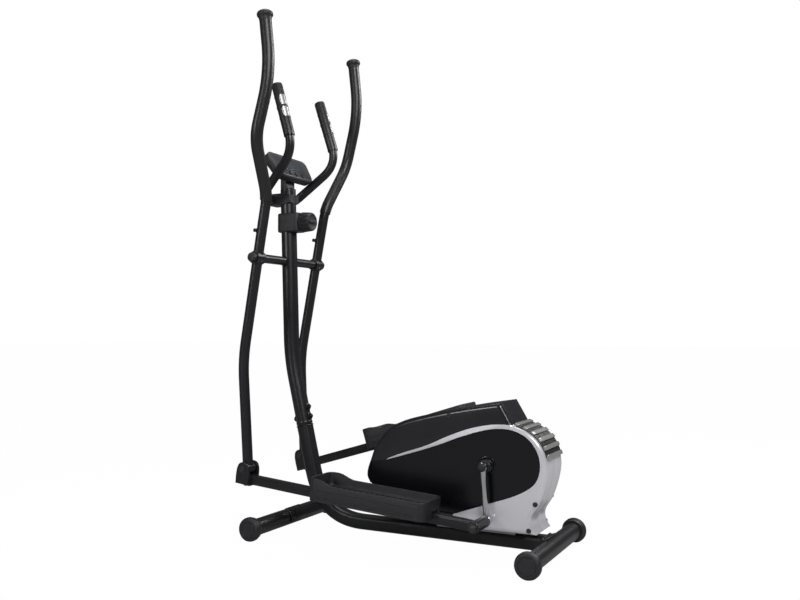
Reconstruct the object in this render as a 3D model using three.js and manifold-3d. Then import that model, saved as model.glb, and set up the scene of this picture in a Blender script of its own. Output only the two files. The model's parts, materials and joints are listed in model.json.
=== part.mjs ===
// Elliptical trainer: a magnetic cross trainer with swinging arms, fixed handlebar, console and rear drive.
// Millimetres. +X is the rider's right, +Y the way the rider faces, +Z up, z = 0 is the floor.
// Every y below counts from the cross shaft that carries the swing arms; the whole model is then
// moved forward so that the origin lies at the middle of its footprint.

import * as THREE from 'three';
import { mergeVertices } from 'three/addons/utils/BufferGeometryUtils.js';
import Module from 'manifold-3d';

const wasm = await Module();
wasm.setup();

// ---------------------------------------------------------------- driving dimensions

const gap = 0.3;                    // clearance between pieces that touch or turn
const roundSides = 12;              // facets round a tube
const boreSides = 8;                // facets round the inside of a tube
const wall = 2;                     // wall of the steel tubes

// stabilizers
const stabilizerRadius = 25;
const capRadius = 36;
const capLength = 30;
const capEnd = 6;
const capFlat = 1;                  // how much of a cap's round is cut away to stand on
const frontStabilizerY = -17;
const frontHalfLength = 231;
const rearStabilizerY = -887;
const rearHalfLength = 228;
const saddleHalfWidth = 40;
const saddleWall = 4;

// main beam and mast
const beamWidth = 46;
const beamHeight = 44;
const beamCorner = 14;
const beamZ = 42;
const beamBend = 150;               // tangent length of the bend that turns the beam up into the stub
const stubTopZ = 410;
const sleeveZ = 331;                // lower edge of the mast, which slides over the stub
const mastRadius = 25;
const mastSides = 16;
const mastWall = 3;
const mastBendZ = 545;
const mastLean = 0.238;             // rearward run per unit of height below the bend
const mastTopZ = 1095;
const mastTopY = 2;
const mastBendY = -16;
const mastBend = 70;
const legWidth = 38;
const legHeight = 30;

// cross shaft and swing arms
const shaftZ = 858;
const shaftRadius = 14;
const shaftHalfLength = 196;
const shaftCapRadius = 17;
const shaftCapLength = 16;
const hubRadius = 20;
const hubHalfLength = 20;
const armX = 166;                   // arm's distance from the middle at the cross shaft
const armTubeRadius = 16;
const armKneeDrop = 318;            // knee below the cross shaft
const armKneeY = 57;
const armKneeBend = 60;
const armJointRise = 92;            // above the shaft, where the upper handle plugs into the lower arm
const armLean = 0.187;              // rearward run per unit of height above the knee
const spigotLength = 40;
const handleOutX = 260;
const handleBendLowRise = 190;      // heights of the handle's bends and end above the cross shaft
const handleBendHighRise = 350;
const handleBendHighY = -62;
const handleTopBendRise = 542;
const handleTopBendY = -112;
const handleTopRise = 710;
const handleTopY = -93;
const gripFoam = 2.2;
const gripStart = 85;               // bare tube between the joint and the grip, by height
const swingCapRadius = 24.5;
const swingCapLength = 32;
const swingCapSkirt = 12;

// pedal joint, crank and pedals
const pivotY = 38;
const pivotZ = 205;
const pedalX = 157;
const eyeRadius = 17;
const eyeHalfWidth = 20;
const swingPinRadius = 6;
const earWall = 5;
const crankY = -718;
const crankZ = 255;
const crankRadius = 146;
const crankInnerX = 84;
const crankThickness = 20;
const crankEyeRadius = 14;
const crankWaist = 9;
const pinRadius = 8;
const pinHead = 13;
const pedalSleeveRadius = 16;
const pedalSleeveLength = 88;
const pedalTubeWidth = 30;
const pedalTubeHeight = 28;
const pedalTubeFrontDrop = 32;      // tube's centre below the joint at the front
const pedalTubeRearDrop = 5;        // and below the crank pin at the rear
const pedalNose = 42;
const plateStart = 268;             // from the joint back to the toe end of the foot plate
const plateLength = 374;
const plateWidth = 123;
const plateInnerX = 106.5;
const plateFloor = 4;
const plateRim = 3.5;
const plateSkirt = 22;
const plateRimHeight = 30;
const plateToeHeight = 44;
const plateTilt = 0.8;              // degrees between the foot plate and its tube
const plateRibHalfWidth = 11;

// drive
const axleRadius = 8.5;
const bearingRadius = 20;
const bracketX = 38;
const bracketWall = 5;
const bracketBaseTop = 75.7;
const bracketBaseWall = 6;
const pulleyRadius = 115;
const pulleyWidth = 14;
const pulleyX = -21;
const flywheelY = -520;
const flywheelZ = 232;
const flywheelRadius = 98;
const flywheelWidth = 26;
const flywheelX = 9;
const smallPulleyRadius = 16;
const flywheelAxleRadius = 5;
const beltThickness = 4;
const beltSlack = 0.8;              // keeps the belt's facets clear of the wheels' facets
const magnetGap = 4;
const magnetThickness = 7;
const magnetPinRadius = 6;

// cover
const coverHalfWidth = 75;
const coverWall = 3;
const coverBevel = 7;
const coverBottomZ = 76;
const panelRecess = 2;
const panelWall = 3;
const crankHoleRadius = 21;

// fixed handlebar
const barRadius = 14;
const barY = mastTopY + mastRadius + barRadius + 3;
const barZ = 1062;
const barBendX = 87;
const barLowX = 130;
const barLowY = -106;
const barLowZ = 1192;
const barTopX = 124;
const barTopY = -40;
const barTopZ = 1402;
const barGripFoam = 3;
const barBend = 34;
const barLowBend = 62;
const barGripLength = 172;
const sensorWall = 1.2;
const sensorLength = 78;
const sensorFromTop = 36;
const clampWall = 5;
const clampHalfWidth = 22;
const clampKnobRadius = 17;
const clampKnobLength = 20;

// tension control
const knobZ = 984;
const housingHalfWidth = 29.5;
const housingHalfHeight = 31;
const housingRearY = -56;
const housingFrontY = 31;
const knobRadius = 33;
const knobLength = 38;
const knobFlutes = 10;

// console
const consoleLowWidth = 180;         // the console widens from its lower edge to its top
const consoleTopWidth = 222;
const consoleHeight = 92;
const consoleDepth = 33;
const consoleWall = 2.5;
const consoleFrontThickness = 7;
const consoleTilt = 56.7;           // degrees of the display above level
const consoleLowY = -40;
const consoleLowZ = 1130;
const lensWidth = 104;
const lensHeight = 46;
const lensThickness = 2;
const buttonRadius = 8;
const buttonPitch = 34;
const buttonProud = 2.5;
const buttonLength = 5;
const buttonRise = 17;              // from the console's lower edge to the middle of the buttons

// ---------------------------------------------------------------- finishes

const finishes = {
  powderCoat: { color: 0x1c1d1f, roughness: 0.45, metalness: 0.3 },
  blackPlastic: { color: 0x17181a, roughness: 0.6, metalness: 0 },
  coverBlack: { color: 0x15161b, roughness: 0.3, metalness: 0 },
  coverSilver: { color: 0xc3c4cc, roughness: 0.35, metalness: 0.3 },
  foam: { color: 0x1a1a1b, roughness: 0.9, metalness: 0 },
  chrome: { color: 0xd9dbde, roughness: 0.12, metalness: 1 },
  steel: { color: 0x8e9195, roughness: 0.4, metalness: 0.9 },
  castIron: { color: 0x4c4e52, roughness: 0.65, metalness: 0.8 },
  belt: { color: 0x101011, roughness: 0.8, metalness: 0 },
  lens: { color: 0x2b3138, roughness: 0.1, metalness: 0 },
  sensor: { color: 0xc9cbcf, roughness: 0.25, metalness: 0.9 },
};

// ---------------------------------------------------------------- solids

const degree = Math.PI / 180;

function signedVolume(positions, faces) {
  const a = new THREE.Vector3();
  const b = new THREE.Vector3();
  const c = new THREE.Vector3();
  let sum = 0;
  for (let i = 0; i < faces.length; i += 3) {
    a.fromArray(positions, faces[i] * 3);
    b.fromArray(positions, faces[i + 1] * 3);
    c.fromArray(positions, faces[i + 2] * 3);
    sum += a.dot(b.cross(c));
  }
  return sum / 6;
}

// A closed three.js geometry as a solid with its faces outward.
function solidOf(geometry) {
  const bare = geometry.clone();
  bare.deleteAttribute('normal');
  bare.deleteAttribute('uv');
  const merged = mergeVertices(bare, 1e-4);
  const positions = merged.attributes.position.array;
  const kept = [];
  for (let i = 0; i < merged.index.count; i += 3) {
    const face = [merged.index.getX(i), merged.index.getX(i + 1), merged.index.getX(i + 2)];
    const folded = face[0] === face[1] || face[1] === face[2] || face[2] === face[0];
    if (!folded) kept.push(...face);
  }
  if (signedVolume(positions, kept) < 0) {
    for (let i = 0; i < kept.length; i += 3) [kept[i + 1], kept[i + 2]] = [kept[i + 2], kept[i + 1]];
  }
  const data = { numProp: 3, vertProperties: new Float32Array(positions), triVerts: new Uint32Array(kept) };
  return new wasm.Manifold(new wasm.Mesh(data));
}

function geometryOf(solid) {
  const mesh = solid.getMesh();
  const geometry = new THREE.BufferGeometry();
  geometry.setAttribute('position', new THREE.BufferAttribute(new Float32Array(mesh.vertProperties), 3));
  geometry.setIndex(new THREE.BufferAttribute(new Uint32Array(mesh.triVerts), 1));
  geometry.computeVertexNormals();
  return geometry;
}

function join(...solids) {
  return solids.reduce((sum, next) => sum.add(next));
}

function cut(solid, ...tools) {
  return tools.reduce((rest, tool) => rest.subtract(tool), solid);
}

function mirrored(solid) {
  return solidOf(geometryOf(solid).scale(-1, 1, 1));
}

function box(x0, x1, y0, y1, z0, z1) {
  const geometry = new THREE.BoxGeometry(x1 - x0, y1 - y0, z1 - z0);
  geometry.translate((x0 + x1) / 2, (y0 + y1) / 2, (z0 + z1) / 2);
  return solidOf(geometry);
}

// A cylinder or cone between two points.
function rodBetween(start, end, radius, sides = roundSides, endRadius = radius) {
  const from = new THREE.Vector3(...start);
  const along = new THREE.Vector3(...end).sub(from);
  const geometry = new THREE.CylinderGeometry(endRadius, radius, along.length(), sides);
  geometry.translate(0, along.length() / 2, 0);
  geometry.applyQuaternion(turnTo(along));
  geometry.translate(from.x, from.y, from.z);
  return solidOf(geometry);
}

// A cylinder along X.
function rod(radius, x0, x1, y, z, sides = 16) {
  return rodBetween([x0, y, z], [x1, y, z], radius, sides);
}

function turnTo(direction) {
  const up = new THREE.Vector3(0, 1, 0);
  return new THREE.Quaternion().setFromUnitVectors(up, direction.clone().normalize());
}

// A turned piece: profile rows are [radius, height], standing at a point along a direction.
function turned(profile, origin, direction, sides = 20) {
  const geometry = new THREE.LatheGeometry(profile.map(([r, h]) => new THREE.Vector2(r, h)), sides);
  geometry.applyQuaternion(turnTo(new THREE.Vector3(...direction)));
  geometry.translate(...origin);
  return solidOf(geometry);
}

// An outline in the side view, rows of [y, z], given thickness along X.
function sidePlate(outline, x0, x1, bevel = 0) {
  const shape = new THREE.Shape(outline.map(([y, z]) => new THREE.Vector2(y, z)));
  const options = { depth: x1 - x0 - 2 * bevel, bevelEnabled: bevel > 0, steps: 1 };
  Object.assign(options, { bevelThickness: bevel, bevelSize: bevel, bevelOffset: -bevel, bevelSegments: 2 });
  const geometry = new THREE.ExtrudeGeometry(shape, options);
  const toSide = new THREE.Matrix4().makeBasis(
    new THREE.Vector3(0, 1, 0), new THREE.Vector3(0, 0, 1), new THREE.Vector3(1, 0, 0));
  geometry.applyMatrix4(toSide);
  geometry.translate(x0 + bevel, 0, 0);
  return solidOf(geometry);
}

function circlePoints(radius, sides) {
  const step = (2 * Math.PI) / sides;
  return Array.from({ length: sides }, (_, i) => new THREE.Vector2(
    radius * Math.cos(step * (i + 0.5)), radius * Math.sin(step * (i + 0.5))));
}

function roundedPoints(width, height, corner) {
  const points = [];
  const centres = [[1, 1, 0], [-1, 1, 90], [-1, -1, 180], [1, -1, 270]];
  for (const [sx, sy, from] of centres) {
    for (const turn of [0, 45, 90]) {
      const angle = (from + turn) * degree;
      const x = sx * (width / 2 - corner) + corner * Math.cos(angle);
      const y = sy * (height / 2 - corner) + corner * Math.sin(angle);
      points.push(new THREE.Vector2(x, y));
    }
  }
  return points;
}

// A tube's route: straight stretches and bends, with one section of the sweep at each of its points.
class Route extends THREE.Curve {
  constructor(points) {
    super();
    this.points = points;
    this.steps = points.length - 1;
  }

  getPoint(t) {
    const at = Math.min(this.steps, Math.max(0, t * this.steps));
    const i = Math.min(this.steps - 1, Math.floor(at));
    return this.points[i].clone().lerp(this.points[i + 1], at - i);
  }

  getPointAt(u) {
    return this.getPoint(u);
  }

  getTangentAt(u) {
    const i = Math.round(u * this.steps);
    const tangent = new THREE.Vector3();
    if (i > 0) tangent.add(this.points[i].clone().sub(this.points[i - 1]).normalize());
    if (i < this.steps) tangent.add(this.points[i + 1].clone().sub(this.points[i]).normalize());
    return tangent.normalize();
  }

  getSpacedPoints() {
    return this.points;
  }

  // Sections keep their width level, unless the route itself runs across.
  computeFrenetFrames(segments, closed) {
    const frames = super.computeFrenetFrames(segments, closed);
    if (frames.tangents.some((tangent) => Math.abs(tangent.x) > 0.9)) return frames;
    frames.tangents.forEach((tangent, i) => {
      frames.normals[i].set(1, 0, 0).addScaledVector(tangent, -tangent.x).normalize();
      frames.binormals[i].crossVectors(tangent, frames.normals[i]);
    });
    return frames;
  }

  getLength() {
    return this.points.slice(1).reduce((sum, point, i) => sum + point.distanceTo(this.points[i]), 0);
  }

  // The part of the route between two distances from its start.
  slice(from, to) {
    const kept = [];
    let run = 0;
    for (let i = 0; i < this.steps; i += 1) {
      const a = this.points[i];
      const b = this.points[i + 1];
      const length = a.distanceTo(b);
      const at = (distance) => a.clone().lerp(b, (distance - run) / length);
      if (from >= run && from < run + length) kept.push(at(from));
      else if (run > from && run < to) kept.push(a.clone());
      if (to > run && to <= run + length) kept.push(at(to));
      run += length;
    }
    return new Route(kept);
  }
}

// A route through corner points, each inner corner rounded by a bend of a given tangent length.
function bentRoute(corners, bends, facets = 4) {
  const turns = corners.map((p) => new THREE.Vector3(...p));
  const points = [turns[0]];
  for (let i = 1; i < turns.length - 1; i += 1) {
    const into = turns[i].clone().sub(turns[i - 1]).normalize();
    const out = turns[i + 1].clone().sub(turns[i]).normalize();
    const start = turns[i].clone().addScaledVector(into, -bends[i - 1]);
    const end = turns[i].clone().addScaledVector(out, bends[i - 1]);
    points.push(...new THREE.QuadraticBezierCurve3(start, turns[i], end).getPoints(facets));
  }
  points.push(turns[turns.length - 1]);
  return new Route(points);
}

function sweep(outline, route, holeOutline) {
  const shape = new THREE.Shape(outline);
  if (holeOutline) shape.holes.push(new THREE.Path(holeOutline));
  const options = { steps: route.steps, extrudePath: route, bevelEnabled: false };
  return solidOf(new THREE.ExtrudeGeometry(shape, options));
}

// A round tube along a route.
function tubeAlong(route, radius, thickness) {
  return sweep(circlePoints(radius, roundSides), route, circlePoints(radius - thickness, boreSides));
}

// A sleeve that goes over a round tube on the same route: its flats clear the tube's edges.
function sleeveAlong(route, tubeRadius, outerRadius) {
  const inner = (tubeRadius + gap) / Math.cos(Math.PI / roundSides);
  return sweep(circlePoints(outerRadius, roundSides), route, circlePoints(inner, roundSides));
}

// The radius of a round piece that slides into a faceted bore.
function insideOf(radius, sides) {
  return radius * Math.cos(Math.PI / sides) - gap;
}

// An outline moved inward by a distance; rows are [y, z] and run anticlockwise.
function inset(outline, distance) {
  const count = outline.length;
  return outline.map((point, i) => {
    const before = outline[(i + count - 1) % count];
    const after = outline[(i + 1) % count];
    const a = new THREE.Vector2(point[0] - before[0], point[1] - before[1]).normalize();
    const b = new THREE.Vector2(after[0] - point[0], after[1] - point[1]).normalize();
    const normal = new THREE.Vector2(-a.y - b.y, a.x + b.x);
    const reach = (2 * distance) / normal.lengthSq();
    return [point[0] + normal.x * reach, point[1] + normal.y * reach];
  });
}

// ---------------------------------------------------------------- the scene graph

const model = new THREE.Group();

function addPiece(name, solid, finish, parent = model) {
  const mesh = new THREE.Mesh(geometryOf(solid), new THREE.MeshStandardMaterial(finishes[finish]));
  mesh.name = name;
  parent.add(mesh);
}

function addPair(name, rightSolid, finish, leftParent = model, rightParent = model) {
  addPiece(`left_${name}`, mirrored(rightSolid), finish, leftParent);
  addPiece(`right_${name}`, rightSolid, finish, rightParent);
}

// ---------------------------------------------------------------- frame

function mastYAt(z) {
  if (z < mastBendZ) return mastBendY - (mastBendZ - z) * mastLean;
  return mastBendY + ((z - mastBendZ) * (mastTopY - mastBendY)) / (mastTopZ - mastBendZ);
}

function stabilizerRod(y, radius, halfLength) {
  return rod(radius, -halfLength, halfLength, y, capRadius - capFlat);
}

// A curved cheek welded to the beam that hugs a stabilizer from one side.
function saddle(y, side) {
  const ring = stabilizerRod(y, stabilizerRadius + gap + saddleWall, saddleHalfWidth);
  const reach = 2 * stabilizerRadius;
  const z = capRadius - capFlat;
  const away = side > 0 ? box(-reach, reach, y - reach, y, z - reach, z + reach)
    : box(-reach, reach, y, y + reach, z - reach, z + reach);
  return cut(ring, away, box(-reach, reach, y - reach, y + reach, z - reach, z - stabilizerRadius / 2));
}

function mainBeam() {
  const corner = [0, mastYAt(beamZ), beamZ];
  const routeTo = (z) => bentRoute([[0, rearStabilizerY + stabilizerRadius / 2, beamZ], corner,
    [0, mastYAt(z), z]], [beamBend], 6);
  const stubFrom = [0, mastYAt(sleeveZ - 60), sleeveZ - 60];
  const stubTo = [0, mastYAt(stubTopZ), stubTopZ];
  const stubRadius = insideOf(mastRadius - mastWall, mastSides);
  const beam = sweep(roundedPoints(beamWidth, beamHeight, beamCorner), routeTo(sleeveZ - gap));
  const beamBore = sweep(
    roundedPoints(beamWidth - 2 * wall, beamHeight - 2 * wall, beamCorner - wall), routeTo(sleeveZ - 40));
  const leg = sweep(roundedPoints(legWidth, legHeight, 6),
    bentRoute([[0, mastYAt(beamZ) - 25, 90], [0, frontStabilizerY, beamZ]], []));
  const stub = rodBetween(stubFrom, stubTo, stubRadius, mastSides);
  const boreFrom = [0, mastYAt(sleeveZ - 70), sleeveZ - 70];
  const boreTo = [0, mastYAt(stubTopZ + 5), stubTopZ + 5];
  const stubBore = rodBetween(boreFrom, boreTo, stubRadius - wall, roundSides);
  const whole = join(beam, leg, stub, saddle(frontStabilizerY, -1), saddle(rearStabilizerY, 1));
  return cut(whole, beamBore, stubBore,
    stabilizerRod(frontStabilizerY, stabilizerRadius + gap, frontHalfLength),
    stabilizerRod(rearStabilizerY, stabilizerRadius + gap, rearHalfLength));
}

// The space a piece clamped round the mast leaves for it, over a height either side of a middle.
function mastSpace(z, reach) {
  const radius = (mastRadius + gap) / Math.cos(Math.PI / mastSides);
  const low = [0, mastYAt(z - reach), z - reach];
  return rodBetween(low, [0, mastYAt(z + reach), z + reach], radius, mastSides);
}

function mastTube() {
  const above = mastTopZ + mastRadius;
  const points = [[0, mastYAt(sleeveZ), sleeveZ], [0, mastBendY, mastBendZ], [0, mastYAt(above), above]];
  const bore = circlePoints(mastRadius - mastWall, mastSides);
  const tube = sweep(circlePoints(mastRadius, mastSides), bentRoute(points, [mastBend]), bore);
  const reach = 2 * mastRadius;
  const top = box(-reach, reach, -reach, reach, mastTopZ, above + mastRadius);
  return cut(tube, top, rod(shaftRadius + gap, -reach, reach, 0, shaftZ));
}

function stabilizerTube(y, halfLength) {
  const reach = halfLength - capEnd - gap;
  const tube = stabilizerRod(y, stabilizerRadius, reach);
  return cut(tube, rod(stabilizerRadius - wall, -reach - 1, reach + 1, y, capRadius - capFlat, roundSides));
}

// A cup over the stabilizer's end, with a flat underneath to stand on.
function stabilizerCap(y, halfLength) {
  const inner = stabilizerRadius + gap;
  const profile = [[0, 0], [capRadius - 4, 0], [capRadius, -4], [capRadius, -capLength + 2],
    [capRadius - 2, -capLength], [inner, -capLength], [inner, -capEnd], [0, -capEnd]];
  const cup = turned(profile, [halfLength, y, capRadius - capFlat], [1, 0, 0], 28);
  return cut(cup, box(halfLength - 2 * capLength, halfLength + 1, y - capRadius, y + capRadius, -10, 0));
}

function buildFrame() {
  addPiece('main_beam', mainBeam(), 'powderCoat');
  addPiece('front_stabilizer', stabilizerTube(frontStabilizerY, frontHalfLength), 'powderCoat');
  addPiece('rear_stabilizer', stabilizerTube(rearStabilizerY, rearHalfLength), 'powderCoat');
  const frontCap = stabilizerCap(frontStabilizerY, frontHalfLength);
  const rearCap = stabilizerCap(rearStabilizerY, rearHalfLength);
  addPair('front_end_cap', frontCap, 'blackPlastic');
  addPair('rear_end_cap', rearCap, 'blackPlastic');
  addPiece('mast', mastTube(), 'powderCoat');
}

// ---------------------------------------------------------------- cross shaft

function shaftCap() {
  const inner = shaftRadius + gap;
  const depth = shaftHalfLength - armX - hubHalfLength - 2 * gap;
  const end = shaftCapLength - depth;
  const profile = [[0, end], [shaftCapRadius - 5, end], [shaftCapRadius, end - 4], [shaftCapRadius, -depth],
    [inner, -depth], [inner, gap], [0, gap]];
  return turned(profile, [shaftHalfLength, 0, shaftZ], [1, 0, 0]);
}

function buildShaft() {
  const shaft = rod(shaftRadius, -shaftHalfLength, shaftHalfLength, 0, shaftZ);
  const bore = rod(shaftRadius - wall, -shaftHalfLength - 1, shaftHalfLength + 1, 0, shaftZ, roundSides);
  addPiece('cross_shaft', cut(shaft, bore), 'powderCoat');
  addPair('shaft_cap', shaftCap(), 'blackPlastic');
}

// ---------------------------------------------------------------- swing arms

const armKneeZ = shaftZ - armKneeDrop;
const armJointZ = shaftZ + armJointRise;
const handleTopBendZ = shaftZ + handleTopBendRise;
const handleTopZ = shaftZ + handleTopRise;

function armXAt(z) {
  return pedalX + ((armX - pedalX) * (z - pivotZ)) / (shaftZ - pivotZ);
}

function armYAt(z) {
  return -(z - shaftZ) * armLean;
}

function lowerArm() {
  const points = [
    [armXAt(pivotZ), pivotY + 1, pivotZ + eyeRadius / 2],
    [armXAt(armKneeZ), armKneeY, armKneeZ],
    [armXAt(armJointZ), armYAt(armJointZ), armJointZ]];
  const outer = sweep(circlePoints(armTubeRadius, roundSides), bentRoute(points, [armKneeBend]));
  const boreStart = [armXAt(pivotZ), pivotY + 2, pivotZ + eyeRadius + wall];
  const boreEnd = [armXAt(armJointZ + 2), armYAt(armJointZ + 2), armJointZ + 2];
  const bore = sweep(circlePoints(armTubeRadius - wall, boreSides),
    bentRoute([boreStart, points[1], boreEnd], [armKneeBend]));
  const hub = rod(hubRadius, armX - hubHalfLength, armX + hubHalfLength, 0, shaftZ, 20);
  const eye = rod(eyeRadius, pedalX - eyeHalfWidth, pedalX + eyeHalfWidth, pivotY, pivotZ, 20);
  const shaftBore = rod(shaftRadius + gap, armX - 2 * hubHalfLength, armX + 2 * hubHalfLength, 0, shaftZ);
  const pinReach = 2 * eyeHalfWidth;
  const pinBore = rod(swingPinRadius + gap, pedalX - pinReach, pedalX + pinReach, pivotY, pivotZ);
  return cut(join(outer, hub, eye), bore, shaftBore, pinBore);
}

function handleRoute() {
  const startZ = armJointZ + gap;
  const bendZ = shaftZ + handleBendLowRise;
  return bentRoute([
    [armXAt(startZ), armYAt(startZ), startZ],
    [armXAt(bendZ), armYAt(bendZ), bendZ],
    [handleOutX + 5, handleBendHighY, shaftZ + handleBendHighRise],
    [handleOutX + 1, handleTopBendY, handleTopBendZ],
    [handleOutX + 1, handleTopY, handleTopZ]], [35, 45, 85]);
}

function upperHandle() {
  const tube = tubeAlong(handleRoute(), armTubeRadius, wall);
  const spigotFrom = armJointZ - spigotLength;
  const spigotTo = armJointZ + 12;
  const radius = insideOf(armTubeRadius - wall, boreSides);
  const ends = [spigotFrom, spigotTo].map((z) => [armXAt(z), armYAt(z), z]);
  const collarZ = armJointZ + gap;
  const collarFrom = [armXAt(collarZ), armYAt(collarZ), collarZ];
  const collar = rodBetween(collarFrom, ends[1], armTubeRadius - wall / 2);
  const bore = rodBetween([ends[0][0], ends[0][1] + armLean, spigotFrom - 1],
    [ends[1][0], ends[1][1] - armLean, spigotTo + 1], radius - wall, boreSides);
  const spigot = cut(join(rodBetween(ends[0], ends[1], radius), collar), bore);
  return join(tube, spigot);
}

function handleGrip() {
  const route = handleRoute();
  const start = gripStart / Math.cos(Math.atan(armLean));
  const end = route.getLength() - swingCapSkirt - gap;
  return sleeveAlong(route.slice(start, end), armTubeRadius, armTubeRadius + gap + gripFoam);
}

function swingCap() {
  const end = new THREE.Vector3(handleOutX + 1, handleTopY, handleTopZ);
  const along = new THREE.Vector3(0, handleTopY - handleTopBendY, handleTopZ - handleTopBendZ).normalize();
  const inner = armTubeRadius + gap;
  const neck = armTubeRadius + gap + gripFoam;
  const top = swingCapLength - swingCapSkirt;
  const profile = [[0, top], [swingCapRadius - 8, top - 1], [swingCapRadius - 2, top - 6],
    [swingCapRadius, top - 12], [swingCapRadius - 2, top - 18], [neck, -swingCapSkirt + 3],
    [neck, -swingCapSkirt], [inner, -swingCapSkirt], [inner, gap], [0, gap]];
  return turned(profile, end.toArray(), along.toArray());
}

function buildSwingArms() {
  addPair('lower_arm', lowerArm(), 'powderCoat');
  addPair('upper_handle', upperHandle(), 'powderCoat');
  addPair('swing_grip', handleGrip(), 'foam');
  addPair('swing_cap', swingCap(), 'blackPlastic');
}

// ---------------------------------------------------------------- pedals
// A pedal is drawn with its joint at the origin and its crank pin straight behind it along -Y.

const hubToPivot = Math.hypot(pivotY - crankY, crankZ - pivotZ);
const pedalReach = Math.hypot(hubToPivot, crankRadius);
const hubSlope = Math.atan2(crankZ - pivotZ, pivotY - crankY);
const crankLean = hubSlope;         // the crank stands square to the line from its hub to the pedal joints
const pedalSpread = Math.atan2(crankRadius, hubToPivot);
const leftPedalTurn = pedalSpread - hubSlope;
const rightPedalTurn = -pedalSpread - hubSlope;
const tubeSlope = Math.atan2(pedalTubeFrontDrop - pedalTubeRearDrop, pedalReach);

function tubePoint(back, up) {
  const z = -pedalTubeFrontDrop + back * Math.tan(tubeSlope) + up;
  return [pedalX, -back, z];
}

function pedalTubeSolid(extra, from, to) {
  const section = roundedPoints(pedalTubeWidth + 2 * extra, pedalTubeHeight + 2 * extra, 6 + extra);
  return sweep(section, bentRoute([tubePoint(from, 0), tubePoint(to, 0)], []));
}

function pedalArm() {
  const rear = pedalReach;
  const tube = pedalTubeSolid(0, -pedalNose, rear);
  const bore = pedalTubeSolid(-wall, -pedalNose - 5, rear - pedalSleeveRadius - wall);
  const sleeveX = crankInnerX + crankThickness + gap + 3;
  const sleeve = rod(pedalSleeveRadius, sleeveX, sleeveX + pedalSleeveLength, -rear, 0);
  const pinBore = rod(pinRadius + gap, sleeveX - 5, sleeveX + pedalSleeveLength + 5, -rear, 0);
  const earOuter = pedalX + eyeHalfWidth + gap + earWall;
  const ears = rod(eyeRadius, 2 * pedalX - earOuter, earOuter, 0, 0, 20);
  const base = sidePlate([[-26, -eyeRadius - 9], [26, -eyeRadius - 9], [eyeRadius, 0], [-eyeRadius, 0]],
    2 * pedalX - earOuter, earOuter);
  const mouth = sidePlate([[-40, -eyeRadius - gap], [40, -eyeRadius - gap], [40, 40], [-40, 40]],
    pedalX - eyeHalfWidth - gap, pedalX + eyeHalfWidth + gap);
  const swingBore = rod(swingPinRadius + gap, pedalX - 60, pedalX + 60, 0, 0);
  return cut(join(tube, sleeve, ears, base), bore, mouth, pinBore, swingBore);
}

// A tray with rims above its floor and skirts below, carried by a rib on the pedal tube.
function footPlate() {
  const tubeTop = pedalTubeHeight / 2 + gap;
  const middleX = plateInnerX + plateWidth / 2;
  const centre = tubePoint(plateStart + plateLength / 2, tubeTop + 2);
  const half = plateLength / 2;
  const shell = (length, width, corner, z0, z1) => {
    const shape = new THREE.Shape(roundedPoints(width, length, corner));
    const geometry = new THREE.ExtrudeGeometry(shape, { depth: z1 - z0, bevelEnabled: false });
    geometry.translate(0, 0, z0);
    return solidOf(geometry);
  };
  const outer = shell(plateLength, plateWidth, 16, -plateSkirt, plateToeHeight);
  const innerLength = plateLength - 2 * plateRim;
  const innerWidth = plateWidth - 2 * plateRim;
  const above = shell(innerLength, innerWidth, 14, plateFloor, plateToeHeight + 5);
  const below = shell(innerLength, innerWidth, 14, -plateSkirt - 5, 0);
  const rimCut = sidePlate([[half - 34, plateToeHeight + 20], [-half - 5, plateToeHeight + 20],
    [-half - 5, plateRimHeight], [half - 90, plateRimHeight]], -plateWidth, plateWidth);
  const skirtCut = box(pedalX - middleX - pedalTubeWidth / 2 - 4, pedalX - middleX + pedalTubeWidth / 2 + 4,
    -half - 5, half + 5, -plateSkirt - 5, 0);
  const ribX = pedalX - middleX;
  const rib = box(ribX - plateRibHalfWidth, ribX + plateRibHalfWidth, -half + 20, half - 20,
    -plateSkirt / 2, plateFloor / 2);
  const tray = join(cut(outer, above, below, rimCut, skirtCut), rib);
  const geometry = geometryOf(tray);
  geometry.rotateX(-tubeSlope - plateTilt * degree);
  geometry.translate(middleX, centre[1], centre[2] + plateFloor / 2);
  return cut(solidOf(geometry), pedalTubeSolid(gap, -pedalNose - 10, pedalReach + 10));
}

function crankPin() {
  const inner = crankInnerX + crankThickness + gap;
  const outer = inner + 3 + pedalSleeveLength + gap;
  const shank = rod(pinRadius, inner, outer + 1, -pedalReach, 0);
  return join(shank, rod(pinHead, outer, outer + 7, -pedalReach, 0, 6));
}

function swingPin() {
  const earOuter = eyeHalfWidth + gap + earWall;
  const shank = rod(swingPinRadius, pedalX - earOuter - 8, pedalX + earOuter + gap + 1, 0, 0);
  const head = rod(10, pedalX + earOuter + gap, pedalX + earOuter + gap + 6, 0, 0, 6);
  return join(shank, head);
}

function buildPedals() {
  const place = (turn) => {
    const group = new THREE.Group();
    group.position.set(0, pivotY, pivotZ);
    group.rotation.x = turn;
    model.add(group);
    return group;
  };
  const left = place(leftPedalTurn);
  const right = place(rightPedalTurn);
  addPair('pedal_arm', pedalArm(), 'powderCoat', left, right);
  addPair('foot_plate', footPlate(), 'blackPlastic', left, right);
  addPair('crank_pin', crankPin(), 'steel', left, right);
  addPair('swing_pin', swingPin(), 'steel', left, right);
}

// ---------------------------------------------------------------- drive

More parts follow.
